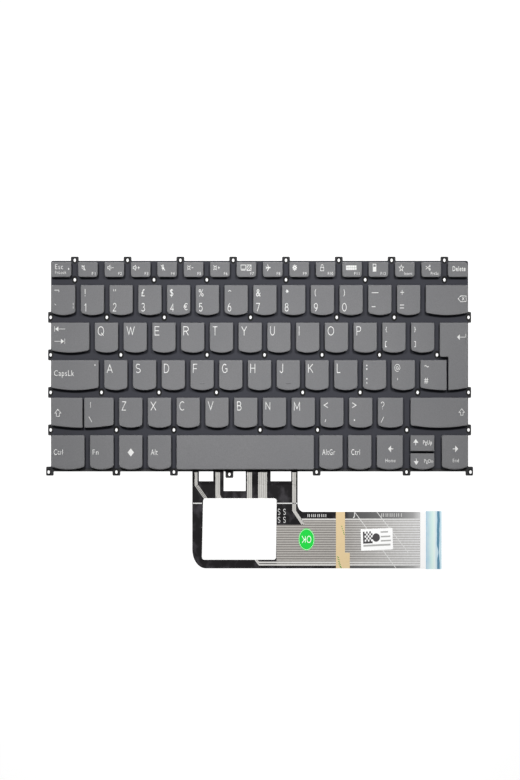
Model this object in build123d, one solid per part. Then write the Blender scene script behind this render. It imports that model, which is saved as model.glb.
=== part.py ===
from build123d import *

import math
import os

# Loose replacement keyboard of a laptop: a stamped base plate with rivet ears, a printed
# membrane with its ribbon tail, rubber domes, stabiliser bars and chiclet keycaps.
# Millimetres. X runs along the rows, Y towards the function row, Z up through the keys.
# The origin is the middle of the base plate's underside.

# Key field: each row is divided into cells, and a gap is halved between neighbouring caps
KEY_PITCH = 19.05
ROW_PITCH = 18.0
KEY_GAP = 3.5
FUNCTION_GAP = 4.4
ARROW_GAP = 4.9
PAIR_SLIT = 1.0
EDGE_INSET = 0.3
ESC_CELL = 15.7
GRAVE_CELL = 17.9
BACKSPACE_CELL = 29.9
ENTER_CELL = 20.6
ENTER_NOTCH = 6.9
CAPS_CELL = 33.4
SHIFT_CELL = 21.4
BACKSLASH_CELL = 21.9
SLASH_CELL = 21.0
CTRL_CELL = 24.0
FN_CELL = 19.3
LEFT_CELL = 21.5
ARROW_CELL = 20.9
RIGHT_CELL = 19.9

# Depth of the rows, and the bare strips before, between and after them
REAR_MARGIN = 0.6
FUNCTION_DEPTH = 7.3
FUNCTION_ROW_GAP = 3.7
ROW_GAP = 3.4
SPACE_ROW_DEPTH = 16.5
FRONT_MARGIN = 0.9
ARROW_SLIT = 0.9
ENTER_STEP = 1.4

# Base plate and the film on it
PLATE_THICKNESS = 0.4
PLATE_CORNER = 1.0
MEMBRANE_THICKNESS = 0.25
MEMBRANE_EDGE = 0.3

# Rivet holes, the bare ring round each, and the ears that carry the outer ones
HOLE_RADIUS = 0.85
PLAIN_HOLE_SIDES = 8
RING_WIDTH = 0.9
HOLE_TO_ROW = 2.5
EAR_WEB = 0.85
EAR_SHOULDER = 1.75
EAR_OUT = 0.3
CORNER_EAR_OUT = 1.6
LONE_EAR_OUT = 1.4
LONE_EAR_X = -20.0

# Keycaps
CAP_HEIGHT = 1.6
CAP_ROOF = 0.8
CAP_WALL = 1.0
CAP_SAG = 0.9
CAP_CORNER = 2.2
FUNCTION_CORNER = 1.6
SPACE_CORNER = 1.0
KEY_TRAVEL = 1.3
BOTTOMED_CLEARANCE = 0.25
HOMING_LENGTH = 3.2
HOMING_WIDTH = 0.5
HOMING_HEIGHT = 0.2
HOMING_INSET = 2.6

# What carries a cap: a rubber dome, and a bar under each wide cap
DOME_SIDES = 6
DOME_RADIUS = 2.4
SMALL_DOME_RADIUS = 1.8
DOME_NARROWING = 0.4
SEAT_CLEARANCE = 0.05
BAR_SECTION = 0.7
BAR_LENGTH = 8.0
BAR_END_INSET = 4.0
POST_WIDTH = 8.0
POST_DEPTH = 3.0

# Ribbon tail: legs at the plate's front edge, then one body with an arm to the contact end
TAIL_LEFT = -44.6
LEG_WIDTHS = (4.4, 6.9, 16.5, 4.3)
LEG_GAPS = (9.5, 14.6, 13.6)
WINDOW_DEPTHS = (4.7, 9.4, 4.7)
TAIL_DEPTH = 46.5
TAIL_LENGTH = 165.2
TAIL_ARM_DEPTH = 27.1
TAIL_ARM_FILLET = 4.0
TAIL_CORNER = 9.0
TAIL_SLOPE = 6.0
TAIL_LEVEL_RUN = 0.4

# Labels, tape and stiffener, measured from the tail's left edge and front edge
LABEL_THICKNESS = 0.1
BLANK_LABEL_WIDTH = 49.6
BLANK_LABEL_DEPTH = 29.5
BLANK_LABEL_LEFT = 6.3
BLANK_LABEL_FRONT = 4.1
BLANK_LABEL_CORNER = 1.0
STICKER_RADIUS = 5.3
STICKER_SIDES = 24
STICKER_LEFT = 75.5
STICKER_FRONT = 13.8
TAPE_LEFT = 95.2
TAPE_WIDTH = 6.0
TAPE_FOOT_WIDTH = 3.2
TAPE_FOOT_DEPTH = 7.5
CODE_LABEL_WIDTH = 21.1
CODE_LABEL_DEPTH = 10.7
CODE_LABEL_LEFT = 122.3
CODE_LABEL_FRONT = 13.7
CODE_LABEL_TURN = 2.0
STIFFENER_LENGTH = 10.4
STIFFENER_OVERHANG = 0.4
STIFFENER_THICKNESS = 0.2

# Sizes, levels and edges worked out from those above
KEY_DEPTH = ROW_PITCH - ROW_GAP
NUMBER_ROW_TOP = REAR_MARGIN + FUNCTION_DEPTH + FUNCTION_ROW_GAP
PLATE_WIDTH = GRAVE_CELL + 12 * KEY_PITCH + BACKSPACE_CELL
PLATE_DEPTH = NUMBER_ROW_TOP + 4 * ROW_PITCH + SPACE_ROW_DEPTH + FRONT_MARGIN
FUNCTION_PITCH = (PLATE_WIDTH - 2 * ESC_CELL) / 14
PLATE_LEFT = -PLATE_WIDTH / 2
PLATE_RIGHT = PLATE_WIDTH / 2
PLATE_REAR = PLATE_DEPTH / 2
PLATE_FRONT = -PLATE_DEPTH / 2
RING_RADIUS = HOLE_RADIUS + RING_WIDTH
MEMBRANE_INSET = RING_RADIUS - EAR_OUT
EAR_REACH = HOLE_RADIUS + EAR_WEB
EAR_HALF = HOLE_RADIUS + EAR_SHOULDER
FILM_Z = PLATE_THICKNESS + MEMBRANE_THICKNESS
RIM_Z = FILM_Z + BOTTOMED_CLEARANCE + KEY_TRAVEL
CAP_TOP_Z = RIM_Z + CAP_HEIGHT
ROOF_Z = CAP_TOP_Z - CAP_ROOF
SWITCH_ROOM = ROOF_Z - SEAT_CLEARANCE - FILM_Z
TAIL_RIGHT = TAIL_LEFT + TAIL_LENGTH
TAIL_FRONT = PLATE_FRONT - TAIL_DEPTH
ARM_REAR = TAIL_FRONT + TAIL_ARM_DEPTH
ROW_TOPS = [PLATE_REAR - REAR_MARGIN] + [
    PLATE_REAR - NUMBER_ROW_TOP - row * ROW_PITCH for row in range(5)
]
ROW_DEPTHS = [FUNCTION_DEPTH] + [KEY_DEPTH] * 4 + [SPACE_ROW_DEPTH]

LETTERS_TOP = list("qwertyuiop")
LETTERS_HOME = list("asdfghjkl")
LETTERS_LOW = list("zxcvbnm")
DIGITS = list("1234567890")
FUNCTION_NAMES = [f"f{number}" for number in range(1, 13)] + ["insert", "print_screen"]


def cells(names, width=KEY_PITCH, gap=KEY_GAP):
    return [(name, width, gap) for name in names]


# One list per row: name, cell width, gap to the next cap. A cell without a width takes what
# the other cells of its row leave, and the last gap of a row is the strip at the plate's edge.
LAST_GAP = 2 * EDGE_INSET
ROWS = [
    cells(["esc"], ESC_CELL, FUNCTION_GAP)
    + cells(FUNCTION_NAMES, FUNCTION_PITCH, FUNCTION_GAP)
    + cells(["delete"], None, LAST_GAP),
    cells(["grave"], GRAVE_CELL)
    + cells(DIGITS + ["minus", "equals"])
    + cells(["backspace"], None, LAST_GAP),
    cells(["tab"], None)
    + cells(LETTERS_TOP + ["left_bracket", "right_bracket"])
    + cells(["enter"], ENTER_CELL, LAST_GAP),
    cells(["caps_lock"], CAPS_CELL)
    + cells(LETTERS_HOME + ["semicolon", "quote"])
    + cells(["hash"], None, PAIR_SLIT)
    + cells(["enter_foot"], ENTER_CELL - ENTER_NOTCH, LAST_GAP),
    cells(["left_shift"], SHIFT_CELL, PAIR_SLIT)
    + cells(["backslash"], BACKSLASH_CELL)
    + cells(LETTERS_LOW + ["comma", "period"])
    + cells(["slash"], SLASH_CELL, ARROW_GAP)
    + cells(["right_shift"], None, LAST_GAP),
    cells(["left_ctrl"], CTRL_CELL)
    + cells(["fn"], FN_CELL)
    + cells(["system", "alt"])
    + cells(["space"], None)
    + cells(["alt_gr", "right_ctrl"])
    + cells(["left"], LEFT_CELL, ARROW_GAP)
    + cells(["up"], ARROW_CELL, ARROW_GAP)
    + cells(["right"], RIGHT_CELL, LAST_GAP),
]
PAIRS = [("hash", "enter_foot"), ("left_shift", "backslash")]

# Keys that travel, and three groups that the file limit leaves fused to what carries them
MOVING = (
    DIGITS + LETTERS_TOP + LETTERS_HOME + LETTERS_LOW
    + ["backspace", "tab", "enter", "caps_lock", "left_shift", "right_shift", "space"]
    + ["left", "up", "down", "right"]
)
BARRED = ["backspace", "tab", "enter", "caps_lock", "right_shift", "space"]
FUNCTION_KEYS = ["esc"] + FUNCTION_NAMES + ["delete"]
SYMBOL_KEYS = [
    "grave", "minus", "equals", "left_bracket", "right_bracket", "semicolon",
    "quote", "hash", "backslash", "comma", "period", "slash",
]
MODIFIER_KEYS = ["left_ctrl", "fn", "system", "alt", "alt_gr", "right_ctrl"]


# Spans of the caps and the boundaries between cells, both along X, row by row
def lay_out():
    spans, boundaries = {}, []
    for row, row_cells in enumerate(ROWS):
        rest = PLATE_WIDTH - sum(width or 0 for name, width, gap in row_cells)
        left, gap_before, edges = PLATE_LEFT, LAST_GAP, []
        for name, width, gap in row_cells:
            right = left + (width or rest)
            spans[name] = (left + gap_before / 2, right - gap / 2, row)
            edges.append(right)
            left, gap_before = right, gap
        boundaries.append(edges[:-1])
    return spans, boundaries


SPANS, BOUNDARIES = lay_out()


# Rivet holes stand in line with cell boundaries of the row behind them, a set step ahead of the next row
def hole_places():
    inner, ears = [], []
    ears += [(x, PLATE_REAR + EAR_OUT, "rear") for x in BOUNDARIES[0][0::2]]
    picks = [
        (0, 3, 5, 8, 11, 14),
        (1, 3, 6, 9, 11),
        (1, 4, 6, 8, 10, 12),
        (0, 2, 4, 7, 9, 11),
        (1, 3, 6, 8, 11),
    ]
    for row, picked in enumerate(picks):
        y = ROW_TOPS[row + 1] + HOLE_TO_ROW
        inner += [(BOUNDARIES[row][index], y) for index in picked]
        if row > 0:
            ears.append((PLATE_LEFT - EAR_OUT, y, "left"))
        if row in (1, 3, 4):
            ears.append((PLATE_RIGHT + EAR_OUT, y, "right"))
    ears += [(BOUNDARIES[5][index], PLATE_FRONT - EAR_OUT, "front") for index in (1, 3, 4, 7)]
    ears.append((LONE_EAR_X, PLATE_FRONT - LONE_EAR_OUT, "front"))
    ears.append((PLATE_LEFT - CORNER_EAR_OUT, PLATE_FRONT - EAR_OUT, "left corner"))
    ears.append((PLATE_RIGHT + CORNER_EAR_OUT, PLATE_FRONT - EAR_OUT, "right corner"))
    return inner, ears


INNER_HOLES, EAR_HOLES = hole_places()
SCREWED = ("rear", "left corner", "right corner")


def block(left, right, low, high):
    return Pos((left + right) / 2, (low + high) / 2) * Rectangle(right - left, high - low)


# A flat tab that reaches from inside the plate to just past its hole
def ear_tab(x, y, side):
    left, right, low, high = x - EAR_HALF, x + EAR_HALF, y - EAR_HALF, y + EAR_HALF
    if side == "rear":
        return block(left, right, PLATE_REAR - EAR_REACH, y + EAR_REACH)
    if side == "front":
        return block(left, right, y - EAR_REACH, PLATE_FRONT + EAR_REACH)
    if side == "left":
        return block(x - EAR_REACH, PLATE_LEFT + EAR_REACH, low, high)
    if side == "right":
        return block(PLATE_RIGHT - EAR_REACH, x + EAR_REACH, low, high)
    if side == "left corner":
        return block(x - EAR_REACH, PLATE_LEFT + EAR_REACH, y - EAR_REACH, high)
    return block(PLATE_RIGHT - EAR_REACH, x + EAR_REACH, y - EAR_REACH, high)


# The ears that the keyboard is screwed down by have round holes; the many others are eight-sided
def base_plate():
    outline = block(PLATE_LEFT, PLATE_RIGHT, PLATE_FRONT, PLATE_REAR)
    outline = fillet(outline.vertices().group_by(Axis.Y)[-1], PLATE_CORNER)
    outline += [ear_tab(x, y, side) for x, y, side in EAR_HOLES]
    round_hole = Circle(HOLE_RADIUS)
    plain_hole = RegularPolygon(HOLE_RADIUS, PLAIN_HOLE_SIDES)
    for x, y, side in EAR_HOLES:
        outline -= Pos(x, y) * (round_hole if side in SCREWED else plain_hole)
    outline -= [Pos(x, y) * plain_hole for x, y in INNER_HOLES]
    return extrude(outline, PLATE_THICKNESS)


# The film reaches nearly to the plate's rear and side edges, stops short of the front ears' holes
# and leaves a ring of bare plate round each other hole
def membrane():
    sheet = block(
        PLATE_LEFT + MEMBRANE_EDGE,
        PLATE_RIGHT - MEMBRANE_EDGE,
        PLATE_FRONT + MEMBRANE_INSET,
        PLATE_REAR - MEMBRANE_EDGE,
    )
    ring = RegularPolygon(RING_RADIUS, PLAIN_HOLE_SIDES)
    sheet -= [Pos(x, y) * ring for x, y in INNER_HOLES]
    sheet -= [Pos(x, y) * ring for x, y, side in EAR_HOLES if side in ("rear", "left", "right")]
    return Pos(0, 0, PLATE_THICKNESS) * extrude(sheet, MEMBRANE_THICKNESS)


# Radius and centre of the arc that bows a cap's front edge by the sag over its span
def smile(span, low):
    half = (span[1] - span[0]) / 2
    radius = (half**2 + CAP_SAG**2) / (2 * CAP_SAG)
    return radius, (span[0] + half, low + radius)


def on_smile(radius, centre, x):
    return centre[1] - math.sqrt(radius**2 - (x - centre[0]) ** 2)


# Rounded corner that touches the upright side at side_x and the smile from inside
def smile_corner(side_x, turn, radius, centre, corner):
    middle_x = side_x + turn * corner
    middle_y = centre[1] - math.sqrt((radius - corner) ** 2 - (middle_x - centre[0]) ** 2)
    away = Vector(middle_x - centre[0], middle_y - centre[1]).normalized()
    side = Vector(side_x, middle_y)
    touch = Vector(*centre) + away * radius
    middle = Vector(middle_x, middle_y)
    crown = middle + (side + touch - middle * 2).normalized() * corner
    return side, crown, touch


# Front corner of a cap: an arc, or one flat in its place on the many caps that don't travel
def front_corner(start, crown, end, rounded):
    return ThreePointArc(start, crown, end) if rounded else Line(start, end)


# Cap outline with a straight rear edge and a front edge bowed towards the user
def smiling_outline(left, right, low, high, span, inside_left, inside_right, rounded):
    radius, centre = smile(span, low)
    lowest_left = Vector(left, on_smile(radius, centre, left))
    lowest_right = Vector(right, on_smile(radius, centre, right))
    edges = [Line((left, high), (right, high))]
    if inside_right:
        side, crown, lowest_right = smile_corner(right, -1, radius, centre, CAP_CORNER)
        edges += [Line((right, high), side), front_corner(side, crown, lowest_right, rounded)]
    else:
        edges.append(Line((right, high), lowest_right))
    if inside_left:
        side, crown, lowest_left = smile_corner(left, 1, radius, centre, CAP_CORNER)
    middle_x = (lowest_left.X + lowest_right.X) / 2
    middle = (middle_x, on_smile(radius, centre, middle_x))
    edges.append(ThreePointArc(lowest_right, middle, lowest_left))
    if inside_left:
        edges += [front_corner(lowest_left, crown, side, rounded), Line(side, (left, high))]
    else:
        edges.append(Line(lowest_left, (left, high)))
    return make_face(edges)


# The front corners of a straight outline that don't lie on the plate's edge
def front_vertices(face, inside_left, inside_right):
    front = face.vertices().group_by(Axis.Y)[0].sort_by(Axis.X)
    return [vertex for vertex, inside in zip(front, (inside_left, inside_right)) if inside]


# The tall L-shaped cap: its foot stands beside the hash cap and shares that cap's bowed front edge
def enter_outline():
    left, right, row = SPANS["enter"]
    foot_left = SPANS["enter_foot"][0]
    low = ROW_TOPS[row + 1] - KEY_DEPTH
    radius, centre = smile((SPANS["hash"][0], right), low)
    foot = Vector(foot_left, on_smile(radius, centre, foot_left))
    toe = Vector(right, on_smile(radius, centre, right))
    sole = ((foot_left + right) / 2, on_smile(radius, centre, (foot_left + right) / 2))
    step = ROW_TOPS[row + 1] + ENTER_STEP
    slant = CAP_CORNER * (1 - math.sqrt(0.5))
    bend = ThreePointArc((left + CAP_CORNER, step), (left + slant, step + slant), (left, step + CAP_CORNER))
    upper = Polyline((left, step + CAP_CORNER), (left, ROW_TOPS[row]), (right, ROW_TOPS[row]), toe)
    inner = Polyline(foot, (foot_left, step), (left + CAP_CORNER, step))
    return make_face([upper, ThreePointArc(toe, sole, foot), inner, bend])


# Plan outline of a cap and the box that its underside is hollowed out in
def cap_plan(name):
    if name == "enter":
        left, right, row = SPANS["enter"]
        return enter_outline(), (left, right, ROW_TOPS[row + 1] + ENTER_STEP, ROW_TOPS[row])
    left, right, row = SPANS["up" if name == "down" else name]
    high = ROW_TOPS[row]
    low = high - ROW_DEPTHS[row]
    inside_left, inside_right = name != ROWS[row][0][0], name != ROWS[row][-1][0]
    half_depth = (SPACE_ROW_DEPTH - ARROW_SLIT) / 2
    if row == 0:
        face = block(left, right, low, high)
        face = chamfer(front_vertices(face, inside_left, inside_right), FUNCTION_CORNER)
        return face, (left, right, low, high)
    if name == "space":
        face = block(left, right, low, high)
        return fillet(front_vertices(face, True, True), SPACE_CORNER), (left, right, low, high)
    if name == "up":
        low = high - half_depth
        return block(left, right, low, high), (left, right, low, high)
    if name == "down":
        high = low + half_depth
    span = (left, right)
    for one, other in PAIRS:
        if name in (one, other):
            span = (SPANS[one][0], SPANS[other][1])
            inside_left = inside_left and name == one
            inside_right = inside_right and name == other
    face = smiling_outline(left, right, low, high, span, inside_left, inside_right, name in MOVING)
    return face, (left, right, low + CAP_SAG, high)


# A cap that travels is hollow, with room for its switch below the roof
def cap(name, hollow):
    face, (left, right, low, high) = cap_plan(name)
    body = Pos(0, 0, RIM_Z) * extrude(face, CAP_HEIGHT)
    if hollow:
        room = block(left + CAP_WALL, right - CAP_WALL, low + CAP_WALL, high - CAP_WALL)
        body -= Pos(0, 0, RIM_Z) * extrude(room, CAP_HEIGHT - CAP_ROOF)
    if name in ("f", "j"):
        at = Pos((left + right) / 2, low + HOMING_INSET, CAP_TOP_Z)
        body += at * extrude(Rectangle(HOMING_LENGTH, HOMING_WIDTH), HOMING_HEIGHT)
    return body


def cap_middle(name):
    left, right, low, high = cap_plan(name)[1]
    return (left + right) / 2, (low + high) / 2


# Collapsible dome, widest on the membrane, flat where it carries the cap's roof
def dome(name):
    radius = SMALL_DOME_RADIUS if name in ("up", "down") else DOME_RADIUS
    base = RegularPolygon(radius, DOME_SIDES, major_radius=False)
    slant = math.degrees(math.atan(DOME_NARROWING * radius / SWITCH_ROOM))
    return Pos(*cap_middle(name), FILM_Z) * extrude(base, SWITCH_ROOM, taper=slant)


# Bent bar that keeps a wide cap level: its arms stand on the membrane, its long side is up at the roof
def stabiliser(name):
    left, right, low, high = cap_plan(name)[1]
    width = right - left - 2 * BAR_END_INSET
    frame = Rectangle(width, BAR_LENGTH)
    frame -= Pos(0, BAR_SECTION) * Rectangle(width - 2 * BAR_SECTION, BAR_LENGTH)
    bar = extrude(frame, BAR_SECTION / 2, both=True)
    lean = math.degrees(math.asin((SWITCH_ROOM - BAR_SECTION) / BAR_LENGTH))
    return Pos(*cap_middle(name), FILM_Z + SWITCH_ROOM / 2) * Rot(-lean, 0, 0) * bar


# A cap that the file limit leaves without a travel of its own stands on its closed-up switch
def fused_key(name):
    post = Pos(*cap_middle(name), FILM_Z) * extrude(Rectangle(POST_WIDTH, POST_DEPTH), RIM_Z - FILM_Z)
    return cap(name, False) + post


# The tail leaves the membrane on the plate, slopes off its front edge and lies level with its underside
def flex_tail():
    start = PLATE_FRONT + MEMBRANE_INSET
    legs_right = TAIL_LEFT + sum(LEG_WIDTHS) + sum(LEG_GAPS)
    plan = block(TAIL_LEFT, legs_right, TAIL_FRONT, start)
    plan += block(TAIL_LEFT, TAIL_RIGHT, TAIL_FRONT, ARM_REAR)
    plan = fillet(plan.vertices().sort_by_distance((legs_right, ARM_REAR))[0], TAIL_ARM_FILLET)
    plan = fillet(plan.vertices().sort_by_distance((TAIL_LEFT, TAIL_FRONT))[0], TAIL_CORNER)
    x = TAIL_LEFT
    for leg, gap, depth in zip(LEG_WIDTHS, LEG_GAPS, WINDOW_DEPTHS):
        plan -= block(x + leg, x + leg + gap, PLATE_FRONT - depth, start)
        x += leg + gap
    level = PLATE_FRONT - TAIL_LEVEL_RUN
    landed = level - TAIL_SLOPE
    under = [(start, PLATE_THICKNESS), (level, PLATE_THICKNESS), (landed, 0), (TAIL_FRONT, 0)]
    over = [(y, z + MEMBRANE_THICKNESS) for y, z in reversed(under)]
    side = make_face(Polyline(*under, *over, close=True))
    band = Pos(TAIL_LEFT, 0, 0) * extrude(Plane.YZ * side, TAIL_LENGTH)
    return extrude(plan, FILM_Z) & band


# Something flat stuck on the tail, drawn from the tail's front left corner
def on_tail(face, thickness):
    return Pos(TAIL_LEFT, TAIL_FRONT, MEMBRANE_THICKNESS) * extrude(face, thickness)


def blank_label():
    right = BLANK_LABEL_LEFT + BLANK_LABEL_WIDTH
    rear = BLANK_LABEL_FRONT + BLANK_LABEL_DEPTH
    face = block(BLANK_LABEL_LEFT, right, BLANK_LABEL_FRONT, rear)
    return on_tail(chamfer(face.vertices(), BLANK_LABEL_CORNER), LABEL_THICKNESS)


def ok_sticker():
    face = Pos(STICKER_LEFT, STICKER_FRONT) * RegularPolygon(STICKER_RADIUS, STICKER_SIDES)
    return on_tail(face, LABEL_THICKNESS)


def code_label():
    face = Rot(0, 0, CODE_LABEL_TURN) * Rectangle(CODE_LABEL_WIDTH, CODE_LABEL_DEPTH)
    return on_tail(Pos(CODE_LABEL_LEFT, CODE_LABEL_FRONT) * face, LABEL_THICKNESS)


# Strip across the arm with a foot at its front end
def paper_tape():
    right = TAPE_LEFT + TAPE_WIDTH
    face = block(TAPE_LEFT, right, 0, TAIL_ARM_DEPTH)
    face += block(right, right + TAPE_FOOT_WIDTH, 0, TAPE_FOOT_DEPTH)
    return on_tail(face, LABEL_THICKNESS)


# Stiff film over the contact end, a little wider than the arm
def contact_stiffener():
    rear = TAIL_ARM_DEPTH + STIFFENER_OVERHANG
    face = block(TAIL_LENGTH - STIFFENER_LENGTH, TAIL_LENGTH, -STIFFENER_OVERHANG, rear)
    return on_tail(face, STIFFENER_THICKNESS)


def write(node, shapes):
    solids = [solid for shape in shapes for solid in shape.solids()]
    export_step(solids[0] if len(solids) == 1 else Compound(children=solids), f"parts/{node}.step")


os.makedirs("parts", exist_ok=True)
write("base_plate", [base_plate()])
write("membrane", [membrane()])
write("flex_tail", [flex_tail()])
write("contact_stiffener", [contact_stiffener()])
write("blank_label", [blank_label()])
write("ok_sticker", [ok_sticker()])
write("code_label", [code_label()])
write("paper_tape", [paper_tape()])
write("rubber_domes", [dome(name) for name in MOVING])
write("stabiliser_bars", [stabiliser(name) for name in BARRED])
write("function_keys", [fused_key(name) for name in FUNCTION_KEYS])
write("symbol_keys", [fused_key(name) for name in SYMBOL_KEYS])
write("modifier_keys", [fused_key(name) for name in MODIFIER_KEYS])
for name in MOVING:
    write(f"key_{name}", [cap(name, True)])
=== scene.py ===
import math
import bpy
import bmesh
import numpy as np
from mathutils import Matrix, Vector


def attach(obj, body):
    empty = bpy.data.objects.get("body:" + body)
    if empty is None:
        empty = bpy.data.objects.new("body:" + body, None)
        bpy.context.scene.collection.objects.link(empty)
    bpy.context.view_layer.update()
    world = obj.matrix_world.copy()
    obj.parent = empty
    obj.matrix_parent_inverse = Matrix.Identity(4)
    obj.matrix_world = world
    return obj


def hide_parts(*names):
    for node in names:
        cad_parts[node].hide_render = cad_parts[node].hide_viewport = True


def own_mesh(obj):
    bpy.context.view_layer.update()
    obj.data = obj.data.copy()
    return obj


# Loose replacement keyboard of a laptop, face up on a white table. Lengths are millimetres until putMesh.
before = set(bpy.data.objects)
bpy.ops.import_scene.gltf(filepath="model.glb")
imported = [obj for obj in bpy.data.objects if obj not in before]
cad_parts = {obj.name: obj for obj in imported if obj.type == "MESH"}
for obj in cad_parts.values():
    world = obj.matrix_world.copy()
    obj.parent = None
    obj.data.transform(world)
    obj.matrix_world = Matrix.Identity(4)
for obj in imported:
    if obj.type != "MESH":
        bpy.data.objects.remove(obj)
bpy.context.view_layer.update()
scene = bpy.context.scene
scene.view_settings.view_transform = "Standard"
mm = 0.001
print("frame loaded:", len(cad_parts), "nodes")


# Camera
photoView = {
    "acrossFrame": 344.68,  # how much of the table the frame's 520 pixels take in
    "frameShape": 780 / 520,
    "under": (0.27, -11.46),  # the point below the middle of the frame
    "height": 1000.0,
    "uprightStretch": 1.382,  # the photograph shows the keyboard this much taller than it is
}


# The camera looks straight down. Its film leans back, so that a level length is spread over 1 / cos(lean)
# times as much film: that gives the photograph's upright stretch, and the model keeps its real shape.
def addCamera():
    data = bpy.data.cameras.new("photoCamera")
    data.type = "ORTHO"
    data.ortho_scale = photoView["acrossFrame"] * photoView["frameShape"] * mm
    data.clip_start, data.clip_end = 0.01, 10.0
    camera = bpy.data.objects.new("photoCamera", data)
    holder = bpy.data.objects.new("leaningFilm", None)
    scene.collection.objects.link(camera)
    scene.collection.objects.link(holder)
    place = Vector((*photoView["under"], photoView["height"])) * mm
    lean = math.acos(1 / photoView["uprightStretch"])
    film = Matrix.Identity(4)
    film[1][1], film[2][1] = math.cos(lean), math.sin(lean)
    camera.location = place
    camera.parent = holder
    camera.matrix_parent_inverse = Matrix.Translation(place) @ film @ Matrix.Translation(-place)
    scene.camera = camera


addCamera()
print("camera set")


# A low sRGB value is divided by 12.92, any other follows the 2.4 power curve
def linear(hexCode):
    c = np.array([int(hexCode[i:i + 2], 16) for i in (0, 2, 4)]) / 255
    return (*np.where(c <= 0.04045, c / 12.92, ((c + 0.055) / 1.055) ** 2.4).tolist(), 1.0)


# Settings are the node's own properties or its inputs, links are input: (node, output)
def addNode(tree, kind, settings={}, links={}):
    node = tree.nodes.new(kind)
    for key, value in settings.items():
        if isinstance(key, str) and key in node.bl_rna.properties:
            setattr(node, key, value)
        else:
            node.inputs[key].default_value = value
    for key, (source, output) in links.items():
        tree.links.new(source.outputs[output], node.inputs[key])
    return node


def startMaterial(name, **sockets):
    material = bpy.data.materials.new(name)
    material.use_nodes = True
    tree = material.node_tree
    tree.nodes.clear()
    shader = addNode(tree, "ShaderNodeBsdfPrincipled",
                     {key.replace("_", " "): value for key, value in sockets.items()})
    addNode(tree, "ShaderNodeOutputMaterial", {}, {"Surface": (shader, 0)})
    return material, tree, shader


# Joins a colour mix, a roughness and a bump to the shader's sockets
def joinTo(tree, shader, tone, rough=None, bump=None):
    for socket, node, output in (("Base Color", tone, 2), ("Roughness", rough, 0), ("Normal", bump, 0)):
        if node:
            tree.links.new(node.outputs[output], shader.inputs[socket])


# What many finishes share: noise some millimetres across shifts the colour between two tones and the
# roughness between two values. A bump is (strength, depth in millimetres), and a stretch scales the noise
# along each axis.
def mottled(tree, shader, size, detail, tones, roughness=None, bump=None, stretch=(1.0, 1.0, 1.0)):
    place = addNode(tree, "ShaderNodeTexCoord")
    turned = addNode(tree, "ShaderNodeMapping", {"Scale": stretch}, {"Vector": (place, "Object")})
    noise = addNode(tree, "ShaderNodeTexNoise", {"Scale": 1 / (size * mm), "Detail": detail},
                    {"Vector": (turned, 0)})
    colours = {"data_type": "RGBA", 6: linear(tones[0]), 7: linear(tones[1])}
    tone = addNode(tree, "ShaderNodeMix", colours, {0: (noise, 0)})
    rough = relief = None
    if roughness:
        settings = {"To Min": roughness[0], "To Max": roughness[1]}
        rough = addNode(tree, "ShaderNodeMapRange", settings, {"Value": (noise, 0)})
    if bump:
        settings = {"Strength": bump[0], "Distance": bump[1] * mm}
        relief = addNode(tree, "ShaderNodeBump", settings, {"Height": (noise, 0)})
    joinTo(tree, shader, tone, rough, relief)


# Colours that follow each other along X between two places in millimetres, each with its share of the way
def bandsAlong(tree, place, start, end, colours):
    axes = addNode(tree, "ShaderNodeSeparateXYZ", {}, {0: (place, "Object")})
    settings = {"From Min": start * mm, "From Max": end * mm}
    along = addNode(tree, "ShaderNodeMapRange", settings, {"Value": (axes, "X")})
    ramp = addNode(tree, "ShaderNodeValToRGB", {}, {0: (along, 0)})
    stops = ramp.color_ramp.elements
    for stop, (position, code) in zip((stops[0], stops[1]), (colours[0], colours[-1])):
        stop.position, stop.color = position, linear(code)
    for position, code in colours[1:-1]:
        stops.new(position).color = linear(code)
    return ramp


# A surface is (points, faces, material index, wear). Rings of one closed loop each make a shell:
# quads join neighbouring rings, and a fan of triangles closes each end on its middle point.
def closedShell(rings, lowEnd, highEnd, part=0, wear=None):
    rings = np.asarray(rings, float)
    rows, count = rings.shape[:2]
    points = np.concatenate([rings.reshape(-1, 3), [lowEnd, highEnd]])
    i, j = np.meshgrid(np.arange(rows - 1), np.arange(count), indexing="ij")
    k = (j + 1) % count
    below, above = i * count, (i + 1) * count
    quads = np.stack([below + j, below + k, above + k, above + j], -1).reshape(-1, 4)
    j = np.arange(count)
    k = (j + 1) % count
    last = (rows - 1) * count
    lowFan = np.stack([k, j, np.full(count, rows * count)], 1)
    highFan = np.stack([last + j, last + k, np.full(count, rows * count + 1)], 1)
    shade = np.zeros(len(points)) if wear is None else np.concatenate([np.repeat(wear, count), [0, 0]])
    return points, quads.tolist() + lowFan.tolist() + highFan.tolist(), part, shade


# Puts surfaces into one mesh in metres, gives it its materials and lets it ride on its body
def putMesh(name, surfaces, materials, body, replaced=(), sharp=None, thick=0):
    counts = np.cumsum([0] + [len(s[0]) for s in surfaces])
    points = np.concatenate([s[0] for s in surfaces]) * mm
    faces = [[v + start for v in face] for s, start in zip(surfaces, counts) for face in s[1]]
    mesh = bpy.data.meshes.new(name)
    mesh.from_pydata(points.tolist(), [], faces)
    for material in materials:
        mesh.materials.append(material)
    index = np.concatenate([np.full(len(s[1]), s[2]) for s in surfaces]).astype(np.int32)
    mesh.polygons.foreach_set("material_index", index)
    wear = mesh.attributes.new("wear", "FLOAT", "POINT")
    wear.data.foreach_set("value", np.concatenate([s[3] for s in surfaces]).astype(np.float32))
    if sharp:
        mesh.shade_smooth()
        mesh.set_sharp_from_angle(angle=math.radians(sharp))
    mesh.update()
    piece = bpy.data.objects.new(name, mesh)
    scene.collection.objects.link(piece)
    if thick:
        layer = piece.modifiers.new("inkThickness", "SOLIDIFY")
        layer.thickness, layer.offset = thick * mm, 1.0
    if body:
        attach(piece, body)
    if replaced:
        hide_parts(*replaced)
    return piece


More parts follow.
